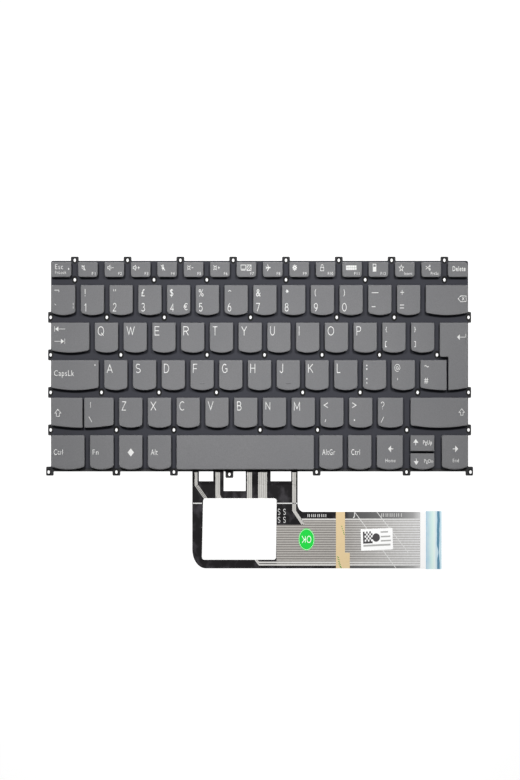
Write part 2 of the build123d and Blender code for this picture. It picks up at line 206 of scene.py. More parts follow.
def flatSurface(points, faces, height, part=0):
    return atHeight(np.asarray(points, float), height), faces, part, np.zeros(len(points))


# Each corner (x, y, radius) becomes an arc that touches both sides: its middle lies on the corner's
# bisector, radius / sin(half angle) away, and its points turn evenly from one touching radius to the other.
def roundedLoop(corners, arcPoints=6):
    corners = np.asarray(corners, float)
    at, radius = corners[:, :2], corners[:, 2:]
    back, ahead = np.roll(at, 1, 0) - at, np.roll(at, -1, 0) - at
    back /= np.linalg.norm(back, axis=1, keepdims=True)
    ahead /= np.linalg.norm(ahead, axis=1, keepdims=True)
    angle = np.arccos(np.clip((back * ahead).sum(1, keepdims=True), -1, 1))
    inward = back + ahead
    middle = at + inward / np.linalg.norm(inward, axis=1, keepdims=True) * radius / np.sin(angle / 2)
    reach = radius / np.tan(angle / 2)
    turn = np.pi - angle
    share = np.linspace(0, 1, arcPoints)[None, :, None]
    first, second = (at + back * reach - middle)[:, None], (at + ahead * reach - middle)[:, None]
    turn = turn[:, :, None]
    arc = (np.sin((1 - share) * turn) * first + np.sin(share * turn) * second) / np.sin(turn)
    return (middle[:, None] + arc).reshape(-1, 2)


def boxLoop(left, right, low, high, radius, arcPoints=6):
    corners = ((left, low), (right, low), (right, high), (left, high))
    return roundedLoop([(x, y, radius) for x, y in corners], arcPoints)


# Sides longer than a step are divided evenly, so that a bent outline stays smooth
def spread(loop, step):
    ahead = np.roll(loop, -1, 0) - loop
    parts = np.maximum(1, np.ceil(np.linalg.norm(ahead, axis=1) / step)).astype(int)
    index = np.repeat(np.arange(len(loop)), parts)
    share = (np.arange(parts.sum()) - np.repeat(np.cumsum(parts) - parts, parts)) / parts[index]
    return loop[index] + ahead[index] * share[:, None]


# Every side named in the marks moves in by depth, and what lies between two marks is shared out evenly
def drawnIn(loop, xMarks, yMarks, depth):
    xs, ys = np.array(xMarks, float), np.array(yMarks, float)
    xIn, yIn = xs + depth, ys + depth
    xIn[-1], yIn[-1] = xs[-1] - depth, ys[-1] - depth
    return np.column_stack([np.interp(loop[:, 0], xs, xIn), np.interp(loop[:, 1], ys, yIn)])


def atHeight(loop, height):
    return np.column_stack([loop, np.broadcast_to(height, len(loop))])


def circle(x, y, radius, count=28):
    a = np.arange(count) * 2 * np.pi / count
    return np.column_stack([x + radius * np.cos(a), y + radius * np.sin(a)])


# Points and faces of a curve or text, as a mesh that leaves nothing behind in the scene
def meshOf(curve, joined=False):
    holder = bpy.data.objects.new(curve.name, curve)
    scene.collection.objects.link(holder)
    mesh = bpy.data.meshes.new_from_object(holder.evaluated_get(bpy.context.evaluated_depsgraph_get()))
    if joined:
        work = bmesh.new()
        work.from_mesh(mesh)
        bmesh.ops.remove_doubles(work, verts=work.verts, dist=1e-4)
        bmesh.ops.recalc_face_normals(work, faces=work.faces)
        work.to_mesh(mesh)
        work.free()
    points = np.empty(len(mesh.vertices) * 3)
    mesh.vertices.foreach_get("co", points)
    faces = [list(face.vertices) for face in mesh.polygons]
    bpy.data.objects.remove(holder)
    bpy.data.curves.remove(curve)
    bpy.data.meshes.remove(mesh)
    return points.reshape(-1, 3), faces


# Where the keys are
keyField = {
    "halfWidth": 138.2,
    "halfDepth": 50.5,
    "rowTops": (49.9, 38.9, 20.9, 2.9, -15.1, -33.1),
    "rowDepths": (7.3, 14.6, 14.6, 14.6, 14.6, 16.5),
    "arrowSlit": 0.9, "enterStep": 1.4,
    "pitch": 19.05, "gap": 3.5, "functionGap": 4.4, "wideGap": 4.9, "slitGap": 1.0, "edgeGap": 0.6,
}


def cellsOf(names, width=keyField["pitch"], gap=keyField["gap"]):
    return [(name, width, gap) for name in names]


# Name, cell width and gap to the next cap. A width of 0 takes what the row's other cells leave.
functionGap, wideGap = keyField["functionGap"], keyField["wideGap"]
slitGap, edgeGap = keyField["slitGap"], keyField["edgeGap"]
functionNames = ["f%d" % number for number in range(1, 13)] + ["insert", "print_screen"]
keyRows = [
    cellsOf(["esc"], 15.7, functionGap) + cellsOf(functionNames, 17.5, functionGap)
    + cellsOf(["delete"], 0, edgeGap),
    cellsOf(["grave"], 17.9) + cellsOf([*"1234567890", "minus", "equals"])
    + cellsOf(["backspace"], 0, edgeGap),
    cellsOf(["tab"], 0) + cellsOf([*"qwertyuiop", "left_bracket", "right_bracket"])
    + cellsOf(["enter"], 20.6, edgeGap),
    cellsOf(["caps_lock"], 33.4) + cellsOf([*"asdfghjkl", "semicolon", "quote"])
    + cellsOf(["hash"], 0, slitGap) + cellsOf(["enter_foot"], 13.7, edgeGap),
    cellsOf(["left_shift"], 21.4, slitGap) + cellsOf(["backslash"], 21.9)
    + cellsOf([*"zxcvbnm", "comma", "period"])
    + cellsOf(["slash"], 21.0, wideGap) + cellsOf(["right_shift"], 0, edgeGap),
    cellsOf(["left_ctrl"], 24.0) + cellsOf(["fn"], 19.3) + cellsOf(["system", "alt"])
    + cellsOf(["space"], 0)
    + cellsOf(["alt_gr", "right_ctrl"]) + cellsOf(["left"], 21.5, wideGap) + cellsOf(["up"], 20.9, wideGap)
    + cellsOf(["right"], 19.9, edgeGap),
]
movingKeys = [*"1234567890qwertyuiopasdfghjklzxcvbnm", "backspace", "tab", "enter", "caps_lock",
              "left_shift"]
movingKeys += ["right_shift", "space", "left", "up", "down", "right"]
barredKeys = ["backspace", "tab", "enter", "caps_lock", "right_shift", "space"]
fixedKeys = {
    "function_keys": ["esc", *functionNames, "delete"],
    "symbol_keys": ["grave", "minus", "equals", "left_bracket", "right_bracket", "semicolon", "quote",
                    "hash", "backslash", "comma", "period", "slash"],
    "modifier_keys": ["left_ctrl", "fn", "system", "alt", "alt_gr", "right_ctrl"],
}


# Cells follow each other from the left edge, and each gap is halved between the two caps beside it
def layOut():
    spans, boundaries = {}, []
    for row, cells in enumerate(keyRows):
        widths = np.array([cell[1] for cell in cells], float)
        widths[widths == 0] = 2 * keyField["halfWidth"] - widths.sum()
        edges = np.concatenate([[0], np.cumsum(widths)]) - keyField["halfWidth"]
        gaps = np.array([edgeGap] + [cell[2] for cell in cells])
        for i, cell in enumerate(cells):
            spans[cell[0]] = (edges[i] + gaps[i] / 2, edges[i + 1] - gaps[i + 1] / 2, row)
        boundaries.append(edges[1:-1])
    return spans, boundaries


spans, boundaries = layOut()

# Keycaps
capShape = {
    "rimZ": 2.2, "roofZ": 3.0, "topZ": 3.8, "wall": 1.0,
    "sag": 1.25,  # how far the front edge bows towards the user
    "bowReach": 3,  # the bow fades out this far behind the front edge
    "dish": 0.1, "dishInset": 0.5,
    "rearCorner": 0.5, "frontCorner": 1.1, "functionCorner": 1.6, "spaceCorner": 1.0, "slitCorner": 0.3,
    "deleteCorner": 2.0, "step": 2.4,
    # draft and rounded edge: inset, height
    "sides": ((0.0, 2.2), (0.1, 3.3), (0.14, 3.58), (0.22, 3.73), (0.36, 3.79), (0.5, 3.8)),
    "sideWear": (0, 0, 0.3, 1.0, 0.5, 0),
    "topRings": (0.82, 0.55, 0.27),
}


# Plan of a cap: its bowed outline, the sides that an inset moves, and the middle that its rings shrink to.
# The bow lowers the points near the front by sag times one minus the square of their place along the span.
def capPlan(name):
    c = capShape
    left, right, row = spans["up" if name == "down" else name]
    high = keyField["rowTops"][row]
    low = high - keyField["rowDepths"][row]
    halfDepth = (keyField["rowDepths"][row] - keyField["arrowSlit"]) / 2
    names = [cell[0] for cell in keyRows[row]]
    front = c["functionCorner"] if row == 0 else c["frontCorner"]
    frontLeft = c["slitCorner"] if name in (names[0], "backslash") else front
    frontRight = c["slitCorner"] if name in (names[-1], "hash", "left_shift") else front
    sag = 0.0 if row == 0 or name in ("space", "up") else c["sag"]
    span = (left, right)
    if name in ("hash", "enter"):
        span = (spans["hash"][0], spans["enter"][1])
    if name in ("left_shift", "backslash"):
        span = (spans["left_shift"][0], spans["backslash"][1])
    if name == "space":
        frontLeft = frontRight = c["spaceCorner"]
    if name == "up":
        low, frontLeft, frontRight = high - halfDepth, c["slitCorner"], c["slitCorner"]
    if name == "down":
        high = low + halfDepth
    rear = c["rearCorner"]
    xMarks, yMarks, middle = (left, right), (low, high), ((left + right) / 2, (low + high) / 2)
    base = low + sag
    corners = [(left, base, frontLeft), (right, base, frontRight),
               (right, high, c["deleteCorner"] if name == "delete" else rear), (left, high, rear)]
    if name == "enter":
        low = keyField["rowTops"][row + 1] - keyField["rowDepths"][row + 1]
        step = keyField["rowTops"][row + 1] + keyField["enterStep"]
        foot, base = spans["enter_foot"][0], low + sag
        corners = [(foot, base, c["slitCorner"]), (right, base, c["slitCorner"]), (right, high, rear),
                   (left, high, rear), (left, step, front), (foot, step, rear)]
        xMarks, yMarks = (left, foot, right), (low, step, high)
        middle = ((foot + right) / 2, (step + high) / 2)
    loop = spread(roundedLoop(corners), c["step"])
    along = (loop[:, 0] - (span[0] + span[1]) / 2) / ((span[1] - span[0]) / 2)
    near = np.clip((base + c["bowReach"] - loop[:, 1]) / c["bowReach"], 0, 1)
    loop[:, 1] -= sag * np.clip(1 - along**2, 0, 1) * near
    dish = 0.0 if name in ("enter", "space") else c["dish"]
    return {"loop": loop, "xMarks": xMarks, "yMarks": yMarks, "middle": middle, "dish": dish,
            "box": (left, right, low, high), "sag": sag}


capPlans = {name: capPlan(name) for row in keyRows for name in [c[0] for c in row] + ["down"]
            if name != "enter_foot"}


# The dish is deepest in the middle: its depth times one minus u squared times one minus v squared
def topHeight(name, points):
    plan, inset = capPlans[name], capShape["dishInset"]
    left, right, low, high = plan["box"]
    u = (points[:, 0] - (left + right) / 2) / ((right - left) / 2 - inset)
    v = (points[:, 1] - (low + high) / 2) / ((high - low) / 2 - inset)
    return capShape["topZ"] - plan["dish"] * np.clip(1 - u**2, 0, 1) * np.clip(1 - v**2, 0, 1)


# A hollow cap: from its roof down the inner wall, round the rim, up the sides and over the dished top
def capShell(name):
    c, plan = capShape, capPlans[name]
    marks = plan["xMarks"], plan["yMarks"]
    inner = drawnIn(plan["loop"], *marks, c["wall"])
    rings = [atHeight(inner, c["roofZ"]), atHeight(inner, c["rimZ"])]
    rings += [atHeight(drawnIn(plan["loop"], *marks, inset), height) for inset, height in c["sides"]]
    edge, middle = rings[-1][:, :2], np.array(plan["middle"])
    for share in c["topRings"]:
        ring = middle + (edge - middle) * share
        rings.append(atHeight(ring, topHeight(name, ring)))
    wear = np.concatenate([[0, 0], c["sideWear"], [0] * len(c["topRings"])])
    top = topHeight(name, middle[None])[0]
    return closedShell(rings, (*middle, c["roofZ"]), (*middle, top), 0, wear)


homingBar = {
    "length": 3.2, "width": 0.5, "corner": 0.24, "inset": 2.25, "foot": 3.7, "top": 4.0,
    "sides": ((0.0, 0.3), (0.0, 0.1), (0.05, 0.03), (0.12, 0.0)),  # inset, depth below the top
    "wear": (0, 0, 0.6, 0.6),
}


# A rounded bar that rises from the cap of F and of J
def homingShell(name):
    h = homingBar
    left, right, low, high = capPlans[name]["box"]
    x, y = (left + right) / 2, low + capPlans[name]["sag"] + h["inset"]
    xs, ys = (x - h["length"] / 2, x + h["length"] / 2), (y - h["width"] / 2, y + h["width"] / 2)
    loop = boxLoop(*xs, *ys, h["corner"], 5)
    rings = [atHeight(drawnIn(loop, xs, ys, inset), h["top"] - depth) for inset, depth in h["sides"]]
    return closedShell(rings, (x, y, h["foot"]), (x, y, h["top"]), 0, np.array(h["wear"]))


# ABS, injection moulded and sprayed with a matte soft-feel paint: an even mid grey with a very fine grit,
# a broad soft highlight, and edges that are a little lighter where fingers have polished them.
def sprayedAbs():
    material, tree, shader = startMaterial("mouldedAbsMattePaint", IOR=1.47, Specular_IOR_Level=0.3)
    place = addNode(tree, "ShaderNodeTexCoord")
    # paint grit is about 0.1 mm; it is drawn at 0.6 mm so that it shows
    grit = addNode(tree, "ShaderNodeTexNoise", {"Scale": 1 / (0.6 * mm), "Detail": 2.0, "Roughness": 0.6},
                   {"Vector": (place, "Object")})
    cloud = addNode(tree, "ShaderNodeTexNoise", {"Scale": 1 / (35 * mm), "Detail": 2.0},
                    {"Vector": (place, "Object")})
    gritRange = addNode(tree, "ShaderNodeMapRange", {"From Min": 0.3, "From Max": 0.7},
                        {"Value": (grit, 0)})
    speckle = addNode(tree, "ShaderNodeMix",
                      {"data_type": "RGBA", 6: linear("7c7c7e"), 7: linear("868688")}, {0: (gritRange, 0)})
    cloudRange = addNode(tree, "ShaderNodeMapRange", {"From Min": 0.35, "From Max": 0.65, "To Max": 0.35},
                         {"Value": (cloud, 0)})
    tone = addNode(tree, "ShaderNodeMix", {"data_type": "RGBA", 7: linear("7a7b7e")},
                   {0: (cloudRange, 0), 6: (speckle, 2)})
    wear = addNode(tree, "ShaderNodeAttribute", {"attribute_name": "wear"})
    wearShare = addNode(tree, "ShaderNodeMath", {"operation": "MULTIPLY", 1: 0.12}, {0: (wear, "Fac")})
    worn = addNode(tree, "ShaderNodeMix", {"data_type": "RGBA", 7: linear("a2a2a2")},
                   {0: (wearShare, 0), 6: (tone, 2)})
    rough = addNode(tree, "ShaderNodeMapRange",
                    {"From Min": 0.3, "From Max": 0.7, "To Min": 0.5, "To Max": 0.62}, {"Value": (grit, 0)})
    bump = addNode(tree, "ShaderNodeBump", {"Strength": 0.12, "Distance": 0.05 * mm}, {"Height": (grit, 0)})
    joinTo(tree, shader, worn, rough, bump)
    return material


capPaint = sprayedAbs()
for name in movingKeys:
    surfaces = [capShell(name)] + ([homingShell(name)] if name in ("f", "j") else [])
    putMesh("cap_" + name, surfaces, [capPaint], "key_" + name, ["key_" + name], sharp=40)
for group, names in fixedKeys.items():
    putMesh("caps_" + group, [capShell(name) for name in names], [capPaint], "keyboard", [group],
            sharp=40)
print("keycaps:", len(capPlans))


# Printed legends
ink = {
    "lift": 0.004, "thick": 0.02, "line": 0.3, "letterLine": 0.4, "signLine": 0.34, "bold": 0.012,
    "spacing": 1.14, "capitalShare": 0.686,  # a capital's height as a share of the type size
    "letterTop": 1.8, "letterHeight": 4.4, "digitTop": 8.6, "digitHeight": 4.1,
    "tailDrop": 0.25,  # Q hangs this far below the other capitals
    "signMiddle": 3.6, "signDrop": 2.7,  # middle of a function sign, from the cap's left and rear edge
    # left edge and width of the capital on each letter key, then of each digit
    "letters": {
        "q": (2.0, 4.1), "w": (2.0, 5.4), "e": (1.6, 3.1), "r": (1.6, 3.5), "t": (2.0, 3.0),
        "y": (1.9, 3.65), "u": (2.0, 3.0), "i": (1.95, 0.4), "o": (2.0, 4.2), "p": (2.05, 3.0),
        "a": (1.75, 3.95), "s": (1.95, 3.2), "d": (1.6, 3.35), "f": (1.75, 2.8), "g": (2.0, 3.45),
        "h": (1.65, 3.25), "j": (2.05, 2.25), "k": (1.85, 3.4), "l": (1.85, 2.3),
        "z": (1.65, 3.2), "x": (1.8, 3.7), "c": (1.9, 3.3), "v": (1.7, 3.7), "b": (2.0, 2.95),
        "n": (1.85, 3.1), "m": (1.6, 4.05),
    },
    "digits": {
        "1": (2.4, 1.2), "2": (1.95, 2.6), "3": (2.05, 2.45), "4": (1.95, 2.6), "5": (2.2, 2.35),
        "6": (2.1, 2.4), "7": (1.9, 2.6), "8": (1.9, 2.5), "9": (2.2, 2.5), "0": (1.8, 3.0),
    },
}


# A stroke: each point of the line moves half a width to both sides along its mitre
def inkLine(points, width=None, closed=False):
    p = np.asarray(points, float)
    ahead, back = np.roll(p, -1, 0) - p, p - np.roll(p, 1, 0)
    if not closed:
        ahead[-1], back[0] = back[-1], ahead[0]
    ahead /= np.linalg.norm(ahead, axis=1, keepdims=True)
    back /= np.linalg.norm(back, axis=1, keepdims=True)
    along = ahead + back
    along /= np.linalg.norm(along, axis=1, keepdims=True)
    half = (width or ink["line"]) / 2 / np.clip((along * ahead).sum(1, keepdims=True), 0.4, 1)
    normal = np.column_stack([-along[:, 1], along[:, 0]]) * half
    i = np.arange(len(p) if closed else len(p) - 1)
    k = (i + 1) % len(p)
    return np.concatenate([p + normal, p - normal]), np.stack([i + len(p), k + len(p), k, i], 1).tolist()


# A filled area, turned anticlockwise if need be so that it faces up
def inkArea(points):
    p = np.asarray(points, float)
    turn = (p[:, 0] * np.roll(p[:, 1], -1) - p[:, 1] * np.roll(p[:, 0], -1)).sum()
    return p if turn > 0 else p[::-1], [list(range(len(p)))]


# Points of a circle's arc, or of an ellipse's where the radius is a pair
def arcLine(x, y, radius, start, end, count=9):
    a = np.radians(np.linspace(start, end, count))
    return np.column_stack([np.cos(a), np.sin(a)]) * radius + (x, y)


def boxCorners(x, y, width, height):
    return np.array([(-0.5, -0.5), (0.5, -0.5), (0.5, 0.5), (-0.5, 0.5)]) * (width, height) + (x, y)


def plusSign(x, y, half):
    return [inkLine([(x - half, y), (x + half, y)]), inkLine([(x, y - half), (x, y + half)])]


def crossSign(x, y, half):
    return [inkLine([(x - half, y - half), (x + half, y + half)]),
            inkLine([(x - half, y + half), (x + half, y - half)])]


# Puts the middle of a sign's own box at a point
def centred(parts, x, y):
    points = np.concatenate([p for p, faces in parts])
    middle = (points.min(0) + points.max(0)) / 2
    return [(p - middle + (x, y), faces) for p, faces in parts]


# Capitals, digits and signs as pen lines in a box one unit wide and high. A closed line is a ring.
def penWays():
    arc = arcLine
    ring = arc(0.5, 0.5, 0.5, 0, 360, 25)
    bowl = [(0, 0), (0, 1), *arc(0.55, 0.735, (0.45, 0.265), 90, -90), (0, 0.47)]
    wave = np.linspace(0, 1, 13)
    ways = {
        "A": [[(0, 0), (0.5, 1), (1, 0)], [(0.18, 0.34), (0.82, 0.34)]],
        "B": [[(0, 0), (0, 1), *arc(0.5, 0.765, (0.4, 0.235), 90, -90), (0, 0.53)],
              [*arc(0.5, 0.265, (0.5, 0.265), 90, -90), (0, 0)]],
        "C": [arc(0.5, 0.5, 0.5, 48, 312, 21)],
        "D": [[(0, 0), (0, 1), *arc(0.38, 0.5, (0.62, 0.5), 90, -90, 13), (0, 0)]],
        "E": [[(1, 1), (0, 1), (0, 0), (1, 0)], [(0, 0.52), (0.88, 0.52)]],
        "F": [[(1, 1), (0, 1), (0, 0)], [(0, 0.5), (0.86, 0.5)]],
        "G": [[*arc(0.5, 0.5, 0.5, 48, 300, 19), (1, 0.14), (1, 0.46), (0.58, 0.46)]],
        "H": [[(0, 0), (0, 1)], [(1, 0), (1, 1)], [(0, 0.52), (1, 0.52)]],
        "I": [[(0, 0), (0, 1)]],
        "J": [[(1, 1), *arc(0.5, 0.28, (0.5, 0.28), 0, -165, 11)]],
        "K": [[(0, 0), (0, 1)], [(0.95, 1), (0, 0.4)], [(0.3, 0.6), (1, 0)]],
        "L": [[(0, 1), (0, 0), (1, 0)]],
        "M": [[(0, 0), (0.03, 1), (0.5, 0.2), (0.97, 1), (1, 0)]],
        "N": [[(0, 0), (0, 1), (1, 0), (1, 1)]],
        "O": [ring],
        "P": [bowl],
        "Q": [ring, [(0.58, 0.28), (0.98, -0.06)]],
        "R": [bowl, [(0.5, 0.47), (1, 0)]],
        "S": [[*arc(0.5, 0.745, (0.44, 0.255), 35, 270, 13),
               *arc(0.5, 0.245, (0.5, 0.245), 90, -145, 13)[1:]]],
        "T": [[(0, 1), (1, 1)], [(0.5, 1), (0.5, 0)]],
        "U": [[(0, 1), *arc(0.5, 0.36, (0.5, 0.36), 180, 360, 13), (1, 1)]],
        "V": [[(0, 1), (0.5, 0), (1, 1)]],
        "W": [[(0, 1), (0.27, 0), (0.5, 0.9), (0.73, 0), (1, 1)]],
        "X": [[(0, 0), (1, 1)], [(0, 1), (1, 0)]],
        "Y": [[(0, 1), (0.5, 0.47), (1, 1)], [(0.5, 0.5), (0.5, 0)]],
        "Z": [[(0, 1), (1, 1), (0, 0), (1, 0)]],
        "1": [[(0, 0.78), (1, 1), (1, 0)]],
        "2": [[*arc(0.5, 0.73, (0.46, 0.27), 165, -35), (0, 0), (1, 0)]],
        "3": [arc(0.45, 0.75, (0.45, 0.25), 150, -90, 13), arc(0.45, 0.26, (0.55, 0.26), 90, -150, 13)],
        "4": [[(0.72, 0), (0.72, 1), (0, 0.3), (1, 0.3)]],
        "5": [[(0.92, 1), (0.14, 1), *arc(0.46, 0.33, (0.54, 0.33), 135, -145, 13)]],
        "6": [arc(0.5, 0.31, (0.5, 0.31), 0, 360, 21), arc(0.95, 0.33, (0.93, 0.67), 180, 105)],
        "7": [[(0, 1), (1, 1), (0.35, 0)]],
        "8": [arc(0.5, 0.765, (0.42, 0.235), 0, 360, 19), arc(0.5, 0.265, (0.5, 0.265), 0, 360, 21)],
        "9": [arc(0.5, 0.69, (0.5, 0.31), 0, 360, 21), arc(0.05, 0.67, (0.93, 0.67), 0, -75)],
        "0": [ring],
        "!": [[(0, 1), (0, 0.3)], [(0, 0.12), (0, 0)]],
        "?": [[*arc(0.5, 0.73, (0.5, 0.27), 170, -55), (0.5, 0.38), (0.5, 0.26)], [(0.5, 0.1), (0.5, 0)]],
        '"': [[(0, 0), (0, 1)], [(1, 0), (1, 1)]],
        "^": [[(0, 0), (0.5, 1), (1, 0)]],
        "*": [[(0, 0.5), (1, 0.5)], [(0.25, 0), (0.75, 1)], [(0.25, 1), (0.75, 0)]],
        "(": [arc(1, 0.5, (1, 0.5), 115, 245)],
        "+": [[(0, 0.5), (1, 0.5)], [(0.5, 0), (0.5, 1)]],
        "-": [[(0, 0), (1, 0)]],
        "=": [[(0, 0), (1, 0)], [(0, 1), (1, 1)]],
        "¬": [[(0, 1), (1, 1), (1, 0)]],
        "¦": [[(0, 1), (0, 0.6)], [(0, 0.4), (0, 0)]],
        "{": [[(1, 1), (0.6, 0.96), (0.45, 0.88), (0.45, 0.57), (0.1, 0.5), (0.45, 0.43), (0.45, 0.12),
               (0.6, 0.04), (1, 0)]],
        "[": [[(1, 1), (0, 1), (0, 0), (1, 0)]],
        "@": [arc(0.48, 0.5, (0.2, 0.2), 0, 360, 15),
              [*arc(0.5, 0.5, 0.5, 300, -15, 25), (0.86, 0.28), (0.72, 0.36)]],
        "\\": [[(0, 1), (1, 0)]],
        "<": [[(1, 1), (0, 0.5), (1, 0)]],
        "~": [np.column_stack([wave, 0.5 + 0.5 * np.sin(2 * np.pi * wave)])],
        "#": [[(0.2, 0), (0.35, 1)], [(0.65, 0), (0.8, 1)], [(0, 0.33), (1, 0.33)], [(0, 0.67), (1, 0.67)]],
    }
    for sign, mirrored in zip("([{<\\", ")]}>/"):
        ways[mirrored] = [(1 - np.asarray(way, float)) * (1, -1) + (0, 1) for way in ways[sign]]
    return ways


penSigns = penWays()


# A sign's lines are scaled until the strokes drawn along them fill the box that is asked for
def penMark(sign, left, top, height, width, line):
    size = np.array([width, height], float) - line
    for trial in range(2):
        ways = [np.asarray(way, float) * size for way in penSigns[sign]]
        rings = [np.allclose(way[0], way[-1]) for way in ways]
        parts = [inkLine(way[:-1] if ring else way, line, ring) for way, ring in zip(ways, rings)]
        points = np.concatenate([p for p, faces in parts])
        size += (width, height) - (points.max(0) - points.min(0))
    shift = np.array([left - points[:, 0].min(), -top - points[:, 1].max()])
    return [(p + shift, faces) for p, faces in parts]


glyphs = {}


# A word is set as text, made a mesh, and kept for the next key that needs it
def setType(text, weight):
    if (text, weight) not in glyphs:
        curve = bpy.data.curves.new("type", "FONT")
        curve.body, curve.resolution_u, curve.offset = text, 4, weight
        curve.space_character = ink["spacing"]
        points, faces = meshOf(curve)
        glyphs[text, weight] = (points[:, :2].copy(), faces)
    return glyphs[text, weight]


# A left edge below zero counts from the cap's right edge, a height below zero fits the sign's own box,
# and otherwise the height is that of capitals standing on the base line
def typeMark(capWidth, text, left, top, height, width=0, weight=0):
    points, faces = setType(text, weight)
    lowest, highest = points.min(0), points.max(0)
    fitted = height < 0
    scale = -height / (highest[1] - lowest[1]) if fitted else height / ink["capitalShare"]
    stretch = width / (highest[0] - lowest[0]) if width else scale
    start = left if left > 0 else capWidth + left - (highest[0] - lowest[0]) * stretch
    foot = lowest[1] if fitted else 0
    return np.column_stack([(points[:, 0] - lowest[0]) * stretch + start,
                            (points[:, 1] - foot) * scale - top - abs(height)]), faces


# Small generic signs for the function row
def functionSigns():
    spokes = [np.array([math.cos(a), math.sin(a)]) for a in np.arange(8) * math.pi / 4]
    cone = inkLine([(-1.5, -0.45), (-0.85, -0.45), (0, -1.15), (0, 1.15), (-0.85, 0.45), (-1.5, 0.45)],
                   None, True)
    wave = inkLine(arcLine(0, 0, 0.8, -42, 42, 7))
    sun = [inkLine(circle(0, 0, 0.75, 12), 0.32, True)]
    sun += [inkLine([s * 1.05, s * 1.5], 0.32) for s in spokes[1::2]]
    gear = [inkLine(circle(0, 0, 0.72, 14), 0.75, True)] + [inkLine([s, s * 1.5], 0.5) for s in spokes]
    plane = [(1.6, 0), (1.1, -0.28), (0.35, -0.3), (-0.45, -1.6), (-0.8, -1.6), (-0.35, -0.3),
             (-1.15, -0.22), (-1.5, -0.7), (-1.7, -0.7), (-1.5, 0)]
    plane += [(x, -y) for x, y in plane[-2:0:-1]]
    tips = zip(np.arange(10) * math.pi / 5, [1.6, 0.68] * 5)
    star = [(math.sin(a) * r, math.cos(a) * r) for a, r in tips]
    screen = [inkLine(boxCorners(-2.05, 0.25, 3.1, 2.0), None, True),
              inkLine([(-3.5, -1.25), (-0.6, -1.25)])]
    hatched = [inkLine(boxCorners(1.75, -0.05, 2.8, 2.7), None, True), inkLine([(0.4, -1.35), (3.1, 1.25)])]
    hatched += [inkLine([(0.4, -0.05), (1.75, 1.25)]), inkLine([(1.75, -1.35), (3.1, -0.05)])]
    microphone = [inkLine(boxCorners(0, 0.55, 0.7, 1.5), None, True),
                  inkLine(arcLine(0, 0.2, 0.8, 190, 350))]
    microphone += [inkLine([(0, -0.6), (0, -1.3)]), inkLine([(-1.4, 1.35), (1.4, -1.35)])]
    scissors = [inkLine([(-1.6, side * 0.75), (0.65, side * -0.55)], 0.28) for side in (1, -1)]
    scissors += [inkLine(circle(1.05, y, 0.42, 10), 0.32, True) for y in (-0.8, 0.8)]
    shackle = [(-0.7, 0.1), *arcLine(0, 0.75, 0.7, 180, 0), (0.7, 0.1)]
    return {
        "f1": [cone, inkLine([(-1.55, 1.3), (0.75, -1.3)])],
        "f2": [cone, wave, inkLine([(1.4, 0), (2.4, 0)])],
        "f3": [cone, wave] + plusSign(2.1, 0, 0.7),
        "f4": microphone,
        "f5": sun + [inkLine([(1.8, 0), (2.9, 0)])],
        "f6": sun + plusSign(2.4, 0, 0.7),
        "f7": screen + hatched,
        "f8": [inkArea(plane)],
        "f9": gear,
        "f10": [inkLine(boxCorners(0, -0.7, 2.2, 1.6), None, True), inkLine(shackle)],
        "f11": [inkArea(boxCorners(x, y, 1.28, 1.05)) for x in (-2.8, -1.4, 0, 1.4, 2.8)
                for y in (-0.58, 0.58)],
        "f12": [inkLine(boxCorners(0, 0, 1.9, 3.4), 0.4, True), inkArea(boxCorners(0, -0.6, 1.9, 2.0))],
        "insert": [inkLine(star, None, True)],
        "print_screen": scissors,
    }


def arrow(tipX, tipY, endX, endY, head, barb, width):
    tip, end = np.array([tipX, tipY], float), np.array([endX, endY], float)
    along = (tip - end) / np.linalg.norm(tip - end)
    side = np.array([-along[1], along[0]])
    neck = tip - along * head
    return [inkLine([end, neck + along * 0.1], width),
            inkArea([tip, neck + side * barb, neck - side * barb])]


